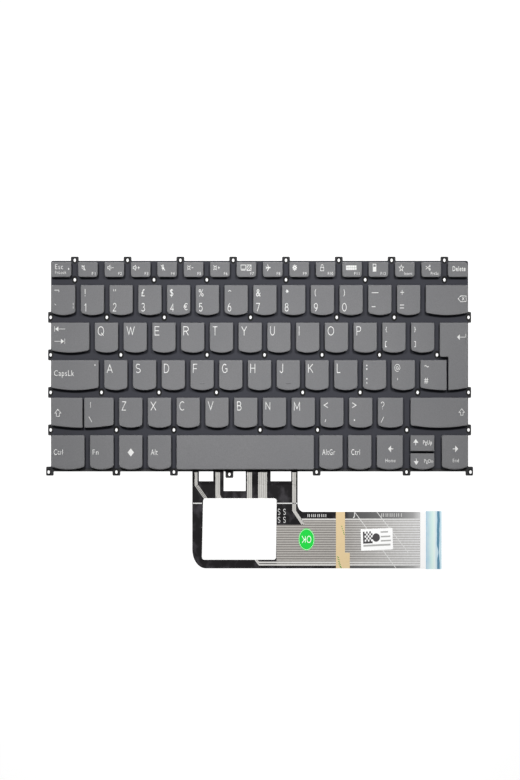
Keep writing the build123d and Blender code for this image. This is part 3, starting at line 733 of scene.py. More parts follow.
# Pen marks of each key: sign, left, top, height, width and line
def penMarks():
    letter, sign = ink["letterLine"], ink["signLine"]
    marks = {}
    for key, (left, width) in ink["letters"].items():
        height = ink["letterHeight"] + ink["tailDrop"] * (key == "q")
        marks[key] = [(key.upper(), left, ink["letterTop"], height, width, letter)]
    for digit, (left, width) in ink["digits"].items():
        marks[digit] = [(digit, left, ink["digitTop"], ink["digitHeight"], width, letter)]
    shifted = {
        "1": ("!", 2.7, 2.0, 3.4, letter, letter), "2": ('"', 2.7, 2.0, 1.0, 1.5, 0.3),
        "6": ("^", 2.35, 2.35, 0.9, 2.2, 0.36), "8": ("*", 2.45, 2.1, 1.75, 2.0, letter),
        "9": ("(", 2.75, 2.0, 3.5, 0.95, sign), "0": (")", 2.75, 2.0, 3.5, 0.95, sign),
    }
    for digit, mark in shifted.items():
        marks[digit].append(mark)
    marks.update({
        "grave": [("¬", 1.9, 2.3, 1.1, 3.1, 0.3), ("\\", 2.0, 8.9, 0.9, 1.0, 0.3),
                  ("¦", 14.25, 8.6, 2.7, 0.26, 0.26)],
        "minus": [("-", 2.35, 3.5, sign, 4.5, sign), ("-", 2.35, 10.2, 0.38, 2.5, 0.38)],
        "equals": [("+", 2.25, 2.35, 2.3, 2.5, sign), ("=", 2.0, 9.4, 1.8, 2.75, 0.38)],
        "left_bracket": [("{", 2.05, 2.06, 2.6, 1.2, 0.3), ("[", 2.0, 8.95, 2.85, 1.1, sign)],
        "right_bracket": [("}", 2.15, 2.06, 2.6, 1.2, 0.3), ("]", 2.15, 8.95, 2.85, 1.1, sign)],
        "semicolon": [("\\", 2.4, 10.5, 1.0, 0.6, 0.4)],
        "quote": [("@", 1.95, 1.9, 3.7, 3.8, 0.3), ("I", 3.8, 8.65, 0.95, 0.36, 0.36)],
        "hash": [("~", 2.75, 2.5, 0.95, 2.95, 0.32), ("#", 2.6, 8.5, 2.9, 2.65, sign)],
        "backslash": [("I", 4.1, 2.1, 2.7, 0.3, 0.3), ("\\", 3.0, 9.0, 2.8, 2.2, sign)],
        "comma": [("<", 2.05, 2.3, 2.7, 3.1, 0.38), ("/", 3.05, 10.3, 1.5, 0.8, 0.38)],
        "period": [(">", 2.1, 2.3, 2.7, 3.1, 0.38)],
        "slash": [("?", 2.1, 1.9, 3.7, 2.3, sign), ("/", 2.1, 9.2, 2.8, 2.0, sign)],
    })
    return marks


# Words and font signs of each key: text, left, top, height, width and weight
def typeMarks():
    bold = ink["bold"]
    marks = {
        "3": [("£", 2.05, 2.0, -3.5)], "4": [("$", 2.0, 1.9, -3.9), ("€", -1.9, 8.7, -3.4)],
        "5": [("%", 2.05, 2.0, -3.5)], "7": [("&", 1.9, 2.0, -3.5)],
        "esc": [("Esc", 2.4, 1.0, 2.4, 5.2), ("FnLock", 2.35, 4.2, 1.45, 7.4)],
        "insert": [("Insert", -1.65, 4.75, 1.4, 5.2)], "print_screen": [("PrtSc", -1.65, 4.75, 1.4, 5.2)],
        "delete": [("Delete", 3.2, 2.0, 2.3, 8.6, 1.6 * bold)],
        "caps_lock": [("CapsLk", 1.7, 4.9, 2.7, 13.2)],
        "left_ctrl": [("Ctrl", 1.5, 6.8, 2.7, 5.95)], "fn": [("Fn", 1.75, 6.9, 2.5, 3.9)],
        "alt": [("Alt", 2.05, 6.8, 2.7, 4.5)],
        "alt_gr": [("AltGr", 1.95, 6.8, 2.7, 8.6)], "right_ctrl": [("Ctrl", 2.2, 6.8, 2.7, 5.7)],
        "left": [("Home", 5.75, 11.3, 1.7, 6.7)], "up": [("PgUp", 8.5, 2.5, 1.95, 5.9, bold)],
        "down": [("PgDn", 9.25, 2.9, 1.7, 5.9)], "right": [("End", 7.3, 11.3, 1.7, 4.0)],
    }
    for number in range(1, 13):
        marks["f%d" % number] = [("F%d" % number, -1.65, 4.8, 1.4, 2.3 if number < 10 else 3.4)]
    return marks


# Arrows, dots and function signs, placed from each cap's left and rear edge. Esc and Caps Lock have a lamp.
def drawnMarks():
    width = {name: plan["box"][1] - plan["box"][0] for name, plan in capPlans.items()}
    middles = {"f1": 3.7, "f2": 4.0, "f4": 3.7, "f5": 4.3, "f6": 4.3, "f7": 6.3, "f10": 4.25, "f11": 6.05,
               "f12": 4.0, "insert": 4.25, "print_screen": 4.5}
    marks = {name: centred(parts, middles.get(name, ink["signMiddle"]), -ink["signDrop"])
             for name, parts in functionSigns().items()}
    pentagon = [(-5.3, 0), (-3.6, 1.35), (0, 1.35), (0, -1.35), (-3.6, -1.35)]
    shift = np.array([(0, 1.95), (2.3, -0.15), (1.1, -0.15), (1.1, -1.9), (-1.1, -1.9), (-1.1, -0.15),
                      (-2.3, -0.15)])

    def dot(x, y, radius):
        return inkArea(circle(x, y, radius, 12))

    backEdge, enterEdge, shiftEdge = width["backspace"] - 1.0, width["enter"] - 1.3, width["right_shift"]
    marks.update({
        "backspace": [inkLine(np.array(pentagon) + (backEdge, -6.6), 0.3, True)]
        + crossSign(backEdge - 1.9, -6.6, 0.75),
        "tab": arrow(2.4, -3.1, 9.0, -3.1, 2.1, 1.2, 0.24) + [inkLine([(1.95, -1.8), (1.95, -4.4)], 0.28)]
        + arrow(8.3, -9.0, 1.9, -9.0, 2.1, 1.2, 0.24) + [inkLine([(8.75, -7.7), (8.75, -10.3)], 0.28)],
        "enter": arrow(enterEdge - 5.7, -7.0, enterEdge, -7.0, 1.75, 1.35, 0.26)
        + [inkLine([(enterEdge, -7.13), (enterEdge, -5.4)], 0.26)],
        "left_shift": [inkLine(shift * 0.88 + (4.2, -7.3), 0.3, True)],
        "right_shift": [inkLine(shift * 0.8 + (shiftEdge - 3.9, -6.9), 0.28, True)],
        "system": [inkArea(np.array([(2.1, 0), (0, 1.95), (-2.1, 0), (0, -1.95)])
                           + (width["system"] / 2, -8.3))],
        "left": arrow(7.5, -6.6, 11.0, -6.6, 2.0, 1.65, 0.42),
        "right": arrow(10.9, -6.6, 7.3, -6.6, 2.0, 1.65, 0.42),
        "up": arrow(3.65, -1.8, 3.65, -4.9, 1.85, 1.75, 0.42),
        "down": arrow(4.0, -5.6, 4.0, -2.5, 1.85, 1.75, 0.42),
        "semicolon": [dot(2.65, -2.6, 0.4), dot(2.65, -4.3, 0.4), dot(2.65, -9.0, 0.4)],
        "period": [dot(3.6, -10.8, 0.42)], "esc": [dot(width["esc"] - 1.9, -3.3, 0.42)],
        "caps_lock": [dot(width["caps_lock"] - 2.6, -2.4, 0.42)],
    })
    return marks


penLegends, typeLegends, drawnLegends = penMarks(), typeMarks(), drawnMarks()


# All marks of one key, laid on its dished top
def legendSurfaces(name):
    left, right, low, high = capPlans[name]["box"]
    parts = list(drawnLegends.get(name, []))
    parts += [part for mark in penLegends.get(name, []) for part in penMark(*mark)]
    parts += [typeMark(right - left, *mark) for mark in typeLegends.get(name, [])]
    placed = [(points + (left, high), faces) for points, faces in parts]
    return [flatSurface(points, faces, topHeight(name, points) + ink["lift"]) for points, faces in placed]


# White two-part ink, pad printed: a matte white that thins where the pad left it uneven
def paddedInk():
    material, tree, shader = startMaterial("padPrintedWhiteInk", Roughness=0.55, IOR=1.5,
                                           Specular_IOR_Level=0.3)
    mottled(tree, shader, 0.9, 1.0, ("eeeeec", "fdfdfb"))
    return material


legendInk = paddedInk()
for name in movingKeys:
    surfaces = legendSurfaces(name)
    if surfaces:
        putMesh("legend_" + name, surfaces, [legendInk], "key_" + name, thick=ink["thick"])
for group, names in fixedKeys.items():
    putMesh("legends_" + group, [s for name in names for s in legendSurfaces(name)], [legendInk],
            "keyboard", thick=ink["thick"])
print("legends:", len(penSigns), "pen signs,", len(glyphs), "words")


# Base plate and film
plateShape = {
    "low": 0.0, "high": 0.4, "filmTop": 0.65, "filmInset": 0.3,
    "hole": 0.85, "ring": 1.92, "earRing": 1.66, "ringLow": 0.404, "ringHigh": 0.42,
    "footCorner": 0.35, "earCorner": 0.6, "notchCorner": 0.4, "rearCorner": 1.0,
    "earHalf": 2.6, "earReach": 1.7, "earOut": 0.3,  # an ear's hole lies this far outside the plate's edge
    "rearEars": (-122.5, -87.5, -52.5, -17.5, 17.5, 52.5, 87.5, 122.5),
    "leftEars": (23.4, 5.4, -12.6, -30.6), "rightEars": (-30.6, -12.6, 23.4),
    "loneEar": (-20.0, -51.9), "cornerEar": (139.8, -50.8),
    "filmFront": -49.05,
    # gaps that hold an ear in front, and those that hold a hole behind each row, counted from the left
    "frontGaps": (1, 3, 4, 7), "behindRow": 2.5,
    "holeGaps": ((0, 3, 5, 8, 11, 14), (1, 3, 6, 9, 11), (1, 4, 6, 8, 10, 12), (0, 2, 4, 7, 9, 11),
                 (1, 3, 6, 8, 11)),
    "ringOverlap": 0.03,  # the painted shade ring reaches this far over a hole's edge, and ends this far short of the film
}
frontEars = [round(float(boundaries[5][i]), 2) for i in plateShape["frontGaps"]]
innerHoles = [(boundaries[row][i], keyField["rowTops"][row + 1] + plateShape["behindRow"])
              for row, picked in enumerate(plateShape["holeGaps"]) for i in picked]


# The first loop is the outline, the others are holes. The flat curve is extruded and made one joined mesh.
def flatSheet(loops, low, high):
    curve = bpy.data.curves.new("sheet", "CURVE")
    curve.dimensions, curve.fill_mode, curve.extrude = "2D", "BOTH", (high - low) / 2
    for loop in loops:
        spline = curve.splines.new("POLY")
        spline.points.add(len(loop) - 1)
        spline.points.foreach_set("co",
                                  np.column_stack([loop, np.zeros(len(loop)), np.ones(len(loop))]).ravel())
        spline.use_cyclic_u = True
    points, faces = meshOf(curve, True)
    return points + (0, 0, (low + high) / 2), faces, 0, np.zeros(len(points))


# Corners of one ear seen along its edge: in, out, out, in
def earCorners(place, edge, outer, turn):
    h, foot, tip = plateShape["earHalf"] * turn, plateShape["footCorner"], plateShape["earCorner"]
    return [(place - h, edge, foot), (place - h, outer, tip), (place + h, outer, tip),
            (place + h, edge, foot)]


# The plate's outline, anticlockwise from the left front corner, with every ear on its way
def plateLoop():
    p = plateShape
    w, d, reach = keyField["halfWidth"], keyField["halfDepth"], p["earReach"]
    out = p["earOut"] + reach
    cx, cy = p["cornerEar"]
    notch, tip = p["notchCorner"], p["earCorner"]
    corners = [(-w, cy + p["earHalf"], notch), (-cx - reach, cy + p["earHalf"], tip),
               (-cx - reach, cy - reach, tip), (reach - w, cy - reach, tip), (reach - w, -d, notch)]
    front = sorted([(x, -d - out) for x in frontEars] + [(p["loneEar"][0], p["loneEar"][1] - reach)])
    corners += [corner for x, outer in front for corner in earCorners(x, -d, outer, 1)]
    corners += [(w - reach, -d, notch), (w - reach, cy - reach, tip), (cx + reach, cy - reach, tip),
                (cx + reach, cy + p["earHalf"], tip), (w, cy + p["earHalf"], notch)]
    corners += [(e, y, r) for place in p["rightEars"] for y, e, r in earCorners(place, w, w + out, 1)]
    corners += [(w, d, p["rearCorner"])]
    corners += [corner for x in sorted(p["rearEars"], reverse=True)
                for corner in earCorners(x, d, d + out, -1)]
    corners += [(-w, d, p["rearCorner"])]
    corners += [(e, y, r) for place in p["leftEars"] for y, e, r in earCorners(place, -w, -w - out, -1)]
    return roundedLoop(corners, 5)


holeX, holeY = keyField["halfWidth"] + plateShape["earOut"], keyField["halfDepth"] + plateShape["earOut"]
earHoles = [(x, holeY) for x in plateShape["rearEars"]] + [(-holeX, y) for y in plateShape["leftEars"]]
earHoles += [(holeX, y) for y in plateShape["rightEars"]] + [(x, -holeY) for x in frontEars]
screwHoles = [plateShape["loneEar"], plateShape["cornerEar"],
              (-plateShape["cornerEar"][0], plateShape["cornerEar"][1])]


# The film's outline follows the plate's edges. Round each ear's hole it is cut back along the ring's arc,
# and in front it ends where the legs of the tail begin.
def filmLoop():
    p = plateShape
    x, y = keyField["halfWidth"] - p["filmInset"], keyField["halfDepth"] - p["filmInset"]
    turn = math.degrees(math.asin((p["earOut"] + p["filmInset"]) / p["ring"]))

    def cut(cx, cy, start):
        return arcLine(cx, cy, p["ring"], start + turn, start + 180 - turn, 15)[::-1].tolist()

    loop = [(-x, p["filmFront"]), (x, p["filmFront"])]
    loop += [q for place in p["rightEars"] for q in cut(holeX, place, 90)] + [(x, y)]
    loop += [q for place in sorted(p["rearEars"], reverse=True) for q in cut(place, holeY, 180)] + [(-x, y)]
    loop += [q for place in p["leftEars"] for q in cut(-holeX, place, 270)]
    return np.array(loop)


# Cold-rolled steel sheet, stamped and coated black by electrocoating: nearly black with a faint satin sheen
def electrocoatedSteel():
    material, tree, shader = startMaterial("electrocoatedSteelSheet", IOR=1.5, Specular_IOR_Level=0.4)
    mottled(tree, shader, 1.2, 3.0, ("242427", "323235"), (0.4, 0.6), (0.1, 0.02))
    return material


# Polyester film, screen printed dark grey: matte blue grey with the faint weave of the printing screen
def screenPrintedFilm():
    material, tree, shader = startMaterial("screenPrintedPolyester", IOR=1.55, Specular_IOR_Level=0.25)
    place = addNode(tree, "ShaderNodeTexCoord")
    mottle = addNode(tree, "ShaderNodeTexNoise", {"Scale": 1 / (9 * mm), "Detail": 3.0},
                     {"Vector": (place, "Object")})
    # the screen has about 12 threads to the millimetre; drawn at 0.8 mm so that it shows close up
    weave = addNode(tree, "ShaderNodeTexVoronoi",
                    {"distance": "CHEBYCHEV", "Scale": 1 / (0.8 * mm), "Randomness": 0.1},
                    {"Vector": (place, "Object")})
    tone = addNode(tree, "ShaderNodeMix", {"data_type": "RGBA", 6: linear("33343b"), 7: linear("3e3f48")},
                   {0: (mottle, 0)})
    thread = addNode(tree, "ShaderNodeMapRange", {"From Max": 0.6, "To Min": 0.0, "To Max": 0.18},
                     {"Value": (weave, "Distance")})
    printed = addNode(tree, "ShaderNodeMix", {"data_type": "RGBA", 7: linear("2c2d33")},
                      {0: (thread, 0), 6: (tone, 2)})
    rough = addNode(tree, "ShaderNodeMapRange", {"To Min": 0.5, "To Max": 0.7}, {"Value": (mottle, 0)})
    bump = addNode(tree, "ShaderNodeBump", {"Strength": 0.1, "Distance": 0.02 * mm},
                   {"Height": (weave, "Distance")})
    joinTo(tree, shader, printed, rough, bump)
    return material


# Painted shade round each punched hole: a deep black ring that stands in for the shade in the hollow round
# the hole, with a soft gloss that varies unevenly
def paintedRingShade():
    material, tree, shader = startMaterial("blackPaintedShadeRings", IOR=1.5, Specular_IOR_Level=0.3)
    mottled(tree, shader, 0.8, 2.0, ("020203", "08080a"), (0.45, 0.6))
    return material


# A flat ring round a hole: four corners of its section, each turned round the hole's middle
def annulus(x, y, outer, count=28):
    p = plateShape
    inner = p["hole"] - p["ringOverlap"]
    section = ((inner, p["ringLow"]), (inner, p["ringHigh"]), (outer, p["ringHigh"]), (outer, p["ringLow"]))
    points = np.concatenate([atHeight(circle(x, y, radius, count), height) for radius, height in section])
    i, j = np.meshgrid(np.arange(4), np.arange(count), indexing="ij")
    across, around = (i + 1) % 4, (j + 1) % count
    faces = np.stack([i * count + j, across * count + j, across * count + around, i * count + around], -1)
    return points, faces.reshape(-1, 4).tolist(), 0, np.zeros(len(points))


edgeHoles = earHoles + screwHoles
plateLoops = [plateLoop()] + [circle(x, y, plateShape["hole"], 24) for x, y in innerHoles + edgeHoles]
plateSheet = flatSheet(plateLoops, plateShape["low"], plateShape["high"])
putMesh("base_plate_sheet", [plateSheet], [electrocoatedSteel()], "keyboard", ["base_plate"],
        sharp=30)
filmLoops = [filmLoop()] + [circle(x, y, plateShape["ring"], 28) for x, y in innerHoles]
filmSheet = flatSheet(filmLoops, plateShape["high"], plateShape["filmTop"])
putMesh("membrane_film", [filmSheet], [screenPrintedFilm()], "keyboard", ["membrane"],
        sharp=30)
# black rings of painted shade round the inner holes and round the ears' holes
shadeRingSurfaces = [annulus(x, y, plateShape["ring"] - plateShape["ringOverlap"]) for x, y in innerHoles]
shadeRingSurfaces += [annulus(x, y, plateShape["earRing"]) for x, y in edgeHoles]
putMesh("painted_shade_rings", shadeRingSurfaces, [paintedRingShade()], "keyboard", (), sharp=30)
print("plate and film:", len(innerHoles), "inner holes,", len(edgeHoles), "ears")


# Switches under the caps
switchShape = {
    "foot": 0.65, "height": 2.3, "domeRadius": 2.4, "smallRadius": 1.7,
    "domeProfile": ((1.0, 0.0), (1.0, 0.1), (0.92, 0.17), (0.78, 0.55), (0.66, 0.82), (0.6, 0.97),
                    (0.5, 1.0), (0.3, 0.93)),
    "outer": (9.0, 8.2), "inner": (6.6, 8.2), "small": (9.0, 3.5), "smallInner": (5.6, 3.5),
    "linkHalf": 0.32, "wire": 0.35, "smallDepth": 10, "play": 0.05, "barInset": 4.0, "barReach": 4.6,
    "pressed": 0.435,  # share of its height that a switch keeps under a pressed cap
}


# A straight rod: its section turned square to the way from one end to the other, with both ends closed
def rod(start, end, half, sides, part):
    start, end = np.array(start, float), np.array(end, float)
    along = (end - start) / np.linalg.norm(end - start)
    side = np.cross(along, (0, 0, 1))
    side /= np.linalg.norm(side)
    up = np.cross(along, side)
    a = (np.arange(sides) + 0.5) * 2 * np.pi / sides
    # the corners of a square section lie 1.41 times half its side away
    ring = (np.cos(a)[:, None] * side + np.sin(a)[:, None] * up) * half * (1.41 if sides == 4 else 1)
    return closedShell([start + ring, end + ring], start, end, part)


# Dome: a profile turned round its axis.
# Link: two frames that cross like scissors, one low at the back and one low in front.
def switchSurfaces(name):
    s = switchShape
    left, right, low, high = capPlans[name]["box"]
    low = keyField["rowTops"][3] + keyField["enterStep"] if name == "enter" else low + capPlans[name]["sag"]
    x, y = (left + right) / 2, (low + high) / 2
    small = high - low < s["smallDepth"]
    radius = s["smallRadius"] if small else s["domeRadius"]
    rings = [atHeight(circle(x, y, radius * r, 16), s["foot"] + s["height"] * z)
             for r, z in s["domeProfile"]]
    surfaces = [closedShell(rings, (x, y, s["foot"]),
                            (x, y, s["foot"] + s["height"] * s["domeProfile"][-1][1]))]
    rest = s["linkHalf"] + s["play"]
    bottom, top = s["foot"] + rest, s["foot"] + s["height"] - rest
    frames = ("small", "smallInner") if small else ("outer", "inner")
    for (width, depth), lowRear in ((s[frames[0]], True), (s[frames[1]], False)):
        rear, front = (bottom, top) if lowRear else (top, bottom)
        a, b = (x - width / 2, y + depth / 2, rear), (x + width / 2, y + depth / 2, rear)
        c, d = (x + width / 2, y - depth / 2, front), (x - width / 2, y - depth / 2, front)
        surfaces += [rod(p, q, s["linkHalf"], 4, 1) for p, q in ((a, b), (b, c), (c, d), (d, a))]
    if name in barredKeys:
        half, back, fore = (right - left) / 2 - s["barInset"], y + s["barReach"], y - s["barReach"]
        a, b = (x - half, back, bottom), (x - half, fore, top)
        c, d = (x + half, fore, top), (x + half, back, bottom)
        surfaces += [rod(p, q, s["wire"], 8, 2) for p, q in ((a, b), (b, c), (c, d))]
    return surfaces


# Silicone rubber, moulded in one web of domes: milky, slightly see-through grey with a soft waxy shine
def milkySilicone():
    sockets = {"IOR": 1.42, "Specular_IOR_Level": 0.4, "Subsurface_Weight": 0.1}
    material, tree, shader = startMaterial("mouldedSiliconeRubber", **sockets)
    mottled(tree, shader, 1.5, 2.0, ("a9a9a6", "c9c9c6"), (0.35, 0.5))
    return material


# Nylon, injection moulded black: dark with a satin shine and faint flow marks
def mouldedNylon():
    material, tree, shader = startMaterial("mouldedBlackNylon", IOR=1.53, Specular_IOR_Level=0.4)
    mottled(tree, shader, 2.5, 2.0, ("161617", "262628"), (0.35, 0.55))
    return material


# Spring steel wire, cold drawn: bright grey metal with fine drawing marks
def drawnWire():
    material, tree, shader = startMaterial("coldDrawnSteelWire", Metallic=1.0)
    mottled(tree, shader, 0.4, 1.0, ("9c9c9e", "c2c2c4"), (0.25, 0.4))
    return material


switchMaterials = [milkySilicone(), mouldedNylon(), drawnWire()]
for name in movingKeys:
    stood = ["rubber_domes", "stabiliser_bars"] if name in barredKeys else ["rubber_domes"]
    piece = putMesh("switch_" + name, switchSurfaces(name), switchMaterials, "keyboard", stood,
                    sharp=40)
    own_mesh(piece)
fixedSurfaces = [s for names in fixedKeys.values() for name in names for s in switchSurfaces(name)]
putMesh("switches_fixed", fixedSurfaces, switchMaterials, "keyboard", (), sharp=40)
print("switches:", len(capPlans))


# Ribbon tail
tail = {
    "front": -97.0, "armRear": -69.9,
    # its upper side comes down from the film to the table between these
    "slope": ((-56.9, 0.25), (-50.9, 0.65)),
    "slopePoints": 24, "traceLift": 0.012, "traceThick": 0.02, "lacquerLift": 0.004, "creaseLift": 0.04,
    # way of each band of lines on the legs, its width, how many lines share it and how much of it is silver
    "legLines": (
        (((-42.1, -50.9), (-42.1, -57.3)), 1.9, 3, 0.72),
        (((-41.7, -57.3), (-35.6, -63.6)), 2.9, 3, 0.42),
        (((-27.75, -50.9), (-27.75, -61.6), (-26.4, -63.6)), 3.1, 3, 0.72),
        (((-6.7, -50.9), (-6.7, -63.6)), 3.4, 3, 0.72),
        (((1.95, -50.9), (1.95, -63.6)), 6.0, 5, 0.72),
        (((22.9, -50.9), (22.9, -69.4), (28.9, -75.9)), 2.6, 2, 0.72),
    ),
    # lacquer on each leg: where it lies across, where it ends and its width
    "legLacquer": ((-42.1, -57.2, 1.9), (-27.75, -63.6, 3.1), (-6.7, -63.6, 3.4), (1.95, -63.6, 6.0),
                   (22.9, -69.5, 2.6)),
    # lines on the arm: those behind the slant start on it, the last two come round the label's corner
    "linePitch": 1.147, "lineCount": 20, "firstLine": -73.5, "lineWidth": 0.62, "lineStart": 11.2,
    "lineEnd": 106.4, "slantStart": 27.6, "slantRun": 0.92, "slantFront": -76.4,
    "cornerLines": {18: ((-3.0, -91.9), -0.7), 19: ((-3.9, -91.9), -0.3)},
    "brightLines": (0, 18, 19), "brightWidth": 1.2,
    "field": ((11.3, -95.85), (106.5, -95.85), (106.5, -73.1), (27.4, -73.1), (29.9, -76.1), (11.3, -76.1)),
}
guides = {
    "bars": (((-44.2, -65.8), (-38.2, -65.8)), ((11.6, -65.8), (25.0, -65.8))), "barWidth": 0.5,
    "curls": ((12.9, -69.9), (12.9, -73.7), (16.5, -69.9), (16.5, -73.7)), "curlSize": 1.35,
    "curlWidth": 0.3,
    # rows of upright dashes: rear end, front end, width and places across
    "dashes": (
        (-71.0, -72.4, 0.45, (32.0, 33.1, 34.6, 35.9, 37.0, 38.6, 39.7, 41.2, 42.6, 43.9)),
        (-70.6, -72.3, 0.4, (81.0, 82.2, 83.8, 85.0, 86.5, 87.8, 89.2, 90.9, 92.2, 94.0)),
    ),
    "hook": ((62.0, -72.6), (62.9, -72.3), (62.9, -70.2)), "hookWidth": 0.55,
    "creases": (((63.0, -70.0), (90.4, -96.9)), ((77.8, -70.0), (98.4, -89.3))), "creaseWidth": 0.4,
}


def tailTop(y):
    places, heights = np.transpose(tail["slope"])
    return np.interp(y, places, heights)


# A way down the slope gets more points, spread evenly along it, so that a stroke there follows the slope
def onSlope(points):
    points = np.asarray(points, float)
    length = np.concatenate([[0], np.cumsum(np.linalg.norm(np.diff(points, axis=0), axis=1))])
    marks = np.unique(np.concatenate([length, np.linspace(0, length[-1], tail["slopePoints"])]))
    return np.column_stack([np.interp(marks, length, points[:, 0]), np.interp(marks, length, points[:, 1])])


def tailStroke(points, width, part=0, lift=None):
    sloping = max(p[1] for p in points) > tail["slope"][0][0]
    flat, faces = inkLine(onSlope(points) if sloping else points, width)
    return flatSurface(flat, faces, tailTop(flat[:, 1]) + (lift or tail["traceLift"]), part)


# Side by side strokes that share out a band's width
def bandStrokes(points, width, count, part, share):
    shifts = (np.arange(count) - (count - 1) / 2) * width / count
    return [tailStroke([(x + s, y) for x, y in points], width / count * share, part) for s in shifts]


# Parts: 0 lines on the arm, 1 lacquer between them, 2 bright lines, 3 lacquer on the legs, 4 lines there
def traceSurfaces():
    t = tail
    lines = [stroke for way, width, count, share in t["legLines"]
             for stroke in bandStrokes(way, width, count, 4, share)]
    for i in range(t["lineCount"]):
        y = t["firstLine"] - i * t["linePitch"]
        slanting = t["slantStart"] + (t["firstLine"] - y) * t["slantRun"]
        begin = [(slanting if y > t["slantFront"] else t["lineStart"], y)]
        if i in t["cornerLines"]:
            corner, x = t["cornerLines"][i]
            begin = [corner, (x, y)]
        bright = i in t["brightLines"]
        width = t["lineWidth"] * (t["brightWidth"] if bright else 1)
        lines.append(tailStroke(begin + [(t["lineEnd"], y)], width, 2 if bright else 0))
    rear = t["slope"][1][0]
    base = [tailStroke([(x, rear), (x, y)], width, 3, t["lacquerLift"]) for x, y, width in t["legLacquer"]]
    flat, faces = inkArea(t["field"])
    return lines + [flatSurface(flat, faces, tailTop(flat[:, 1]) + t["lacquerLift"], 1)] + base


# An S-shaped curl of two arcs
def curl(x, y, size):
    upper = arcLine(x, y + size / 2, size / 2, 20, 270, 8)
    lower = arcLine(x, y - size / 2, size / 2, 90, -160, 8)
    return np.concatenate([upper, lower[1:]])


# White guide marks printed on the black: bars, curls and dashes; and two thin creases of light on the arm
def guideSurfaces():
    g = guides
    marks = [tailStroke(bar, g["barWidth"]) for bar in g["bars"]]
    marks += [tailStroke(curl(x, y, g["curlSize"]), g["curlWidth"]) for x, y in g["curls"]]
    marks += [tailStroke([(x, rear), (x, front)], width) for rear, front, width, places in g["dashes"]
              for x in places]
    marks += [tailStroke(g["hook"], g["hookWidth"])]
    return marks + [tailStroke(way, g["creaseWidth"], 0, tail["creaseLift"]) for way in g["creases"]]


# Carbon print on polyester film under a clear lacquer: glossy black with greyish smears. Towards the
# contact end it turns lighter, nearly white: painted glare, the lamps' reflection off the glossy film.
def carbonPrint():
    material, tree, shader = startMaterial("carbonPrintedPolyester", IOR=1.55, Specular_IOR_Level=0.25)
    place = addNode(tree, "ShaderNodeTexCoord")
    smear = addNode(tree, "ShaderNodeTexNoise", {"Scale": 1 / (6 * mm), "Detail": 3.0},
                    {"Vector": (place, "Object")})
    stops = ((0.1, "141114"), (0.16, "5c5c5d"), (0.35, "6c6c6c"), (0.7, "8e8e8e"), (0.86, "b6b6b6"),
             (0.95, "eeeeee"))
    # painted glare: the print grows lighter along X towards the contact end
    paintedGlare = bandsAlong(tree, place, 50, 110, stops)
    shade = addNode(tree, "ShaderNodeMapRange", {"From Min": 0.5, "From Max": 0.66, "To Max": 0.6},
                    {"Value": (smear, 0)})
    lighter = {"data_type": "RGBA", "blend_type": "LIGHTEN", 7: linear("4a474c")}
    tone = addNode(tree, "ShaderNodeMix", lighter, {0: (shade, 0), 6: (paintedGlare, 0)})
    rough = addNode(tree, "ShaderNodeMapRange", {"To Min": 0.3, "To Max": 0.5}, {"Value": (smear, 0)})
    joinTo(tree, shader, tone, rough)
    return material


# Silver paste, screen printed and cured: pale warm grey with a fine grain, lighter towards the contacts by
# painted glare
def silverPaste(name, near, far):
    material, tree, shader = startMaterial(name, IOR=1.5, Specular_IOR_Level=0.4)
    place = addNode(tree, "ShaderNodeTexCoord")
    grain = addNode(tree, "ShaderNodeTexNoise", {"Scale": 1 / (1.1 * mm), "Detail": 3.0},
                    {"Vector": (place, "Object")})
    # painted glare: the silver grows lighter along X towards the contact end
    paintedGlare = bandsAlong(tree, place, 55, 104, ((0.0, near), (1.0, far)))
    shade = addNode(tree, "ShaderNodeMapRange", {"From Min": 0.35, "From Max": 0.65, "To Max": 0.16},
                    {"Value": (grain, 0)})
    darker = {"data_type": "RGBA", "blend_type": "MULTIPLY", 7: linear("b4b4b4")}
    tone = addNode(tree, "ShaderNodeMix", darker, {0: (shade, 0), 6: (paintedGlare, 0)})
    rough = addNode(tree, "ShaderNodeMapRange", {"To Min": 0.4, "To Max": 0.6}, {"Value": (grain, 0)})
    joinTo(tree, shader, tone, rough)
    return material


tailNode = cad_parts["flex_tail"]
tailNode.data.materials.clear()
tailNode.data.materials.append(carbonPrint())
silver = [silverPaste("screenPrintedSilver", "ccc8c2", "ffffff"),
          silverPaste("lacquerOverSilver", "8e8985", "d6d4d2"),
          silverPaste("brightPrintedSilver", "f0eeea", "fcfcfc"),
          silverPaste("paleLacquerOverSilver", "a8a6a2", "a8a6a2"),
          silverPaste("shadedPrintedSilver", "d8d6d1", "d8d6d1")]
putMesh("silver_traces", traceSurfaces(), silver, "keyboard", thick=tail["traceThick"])
putMesh("guide_marks", guideSurfaces(), [legendInk], "keyboard", thick=tail["traceThick"])
print("ribbon tail printed")


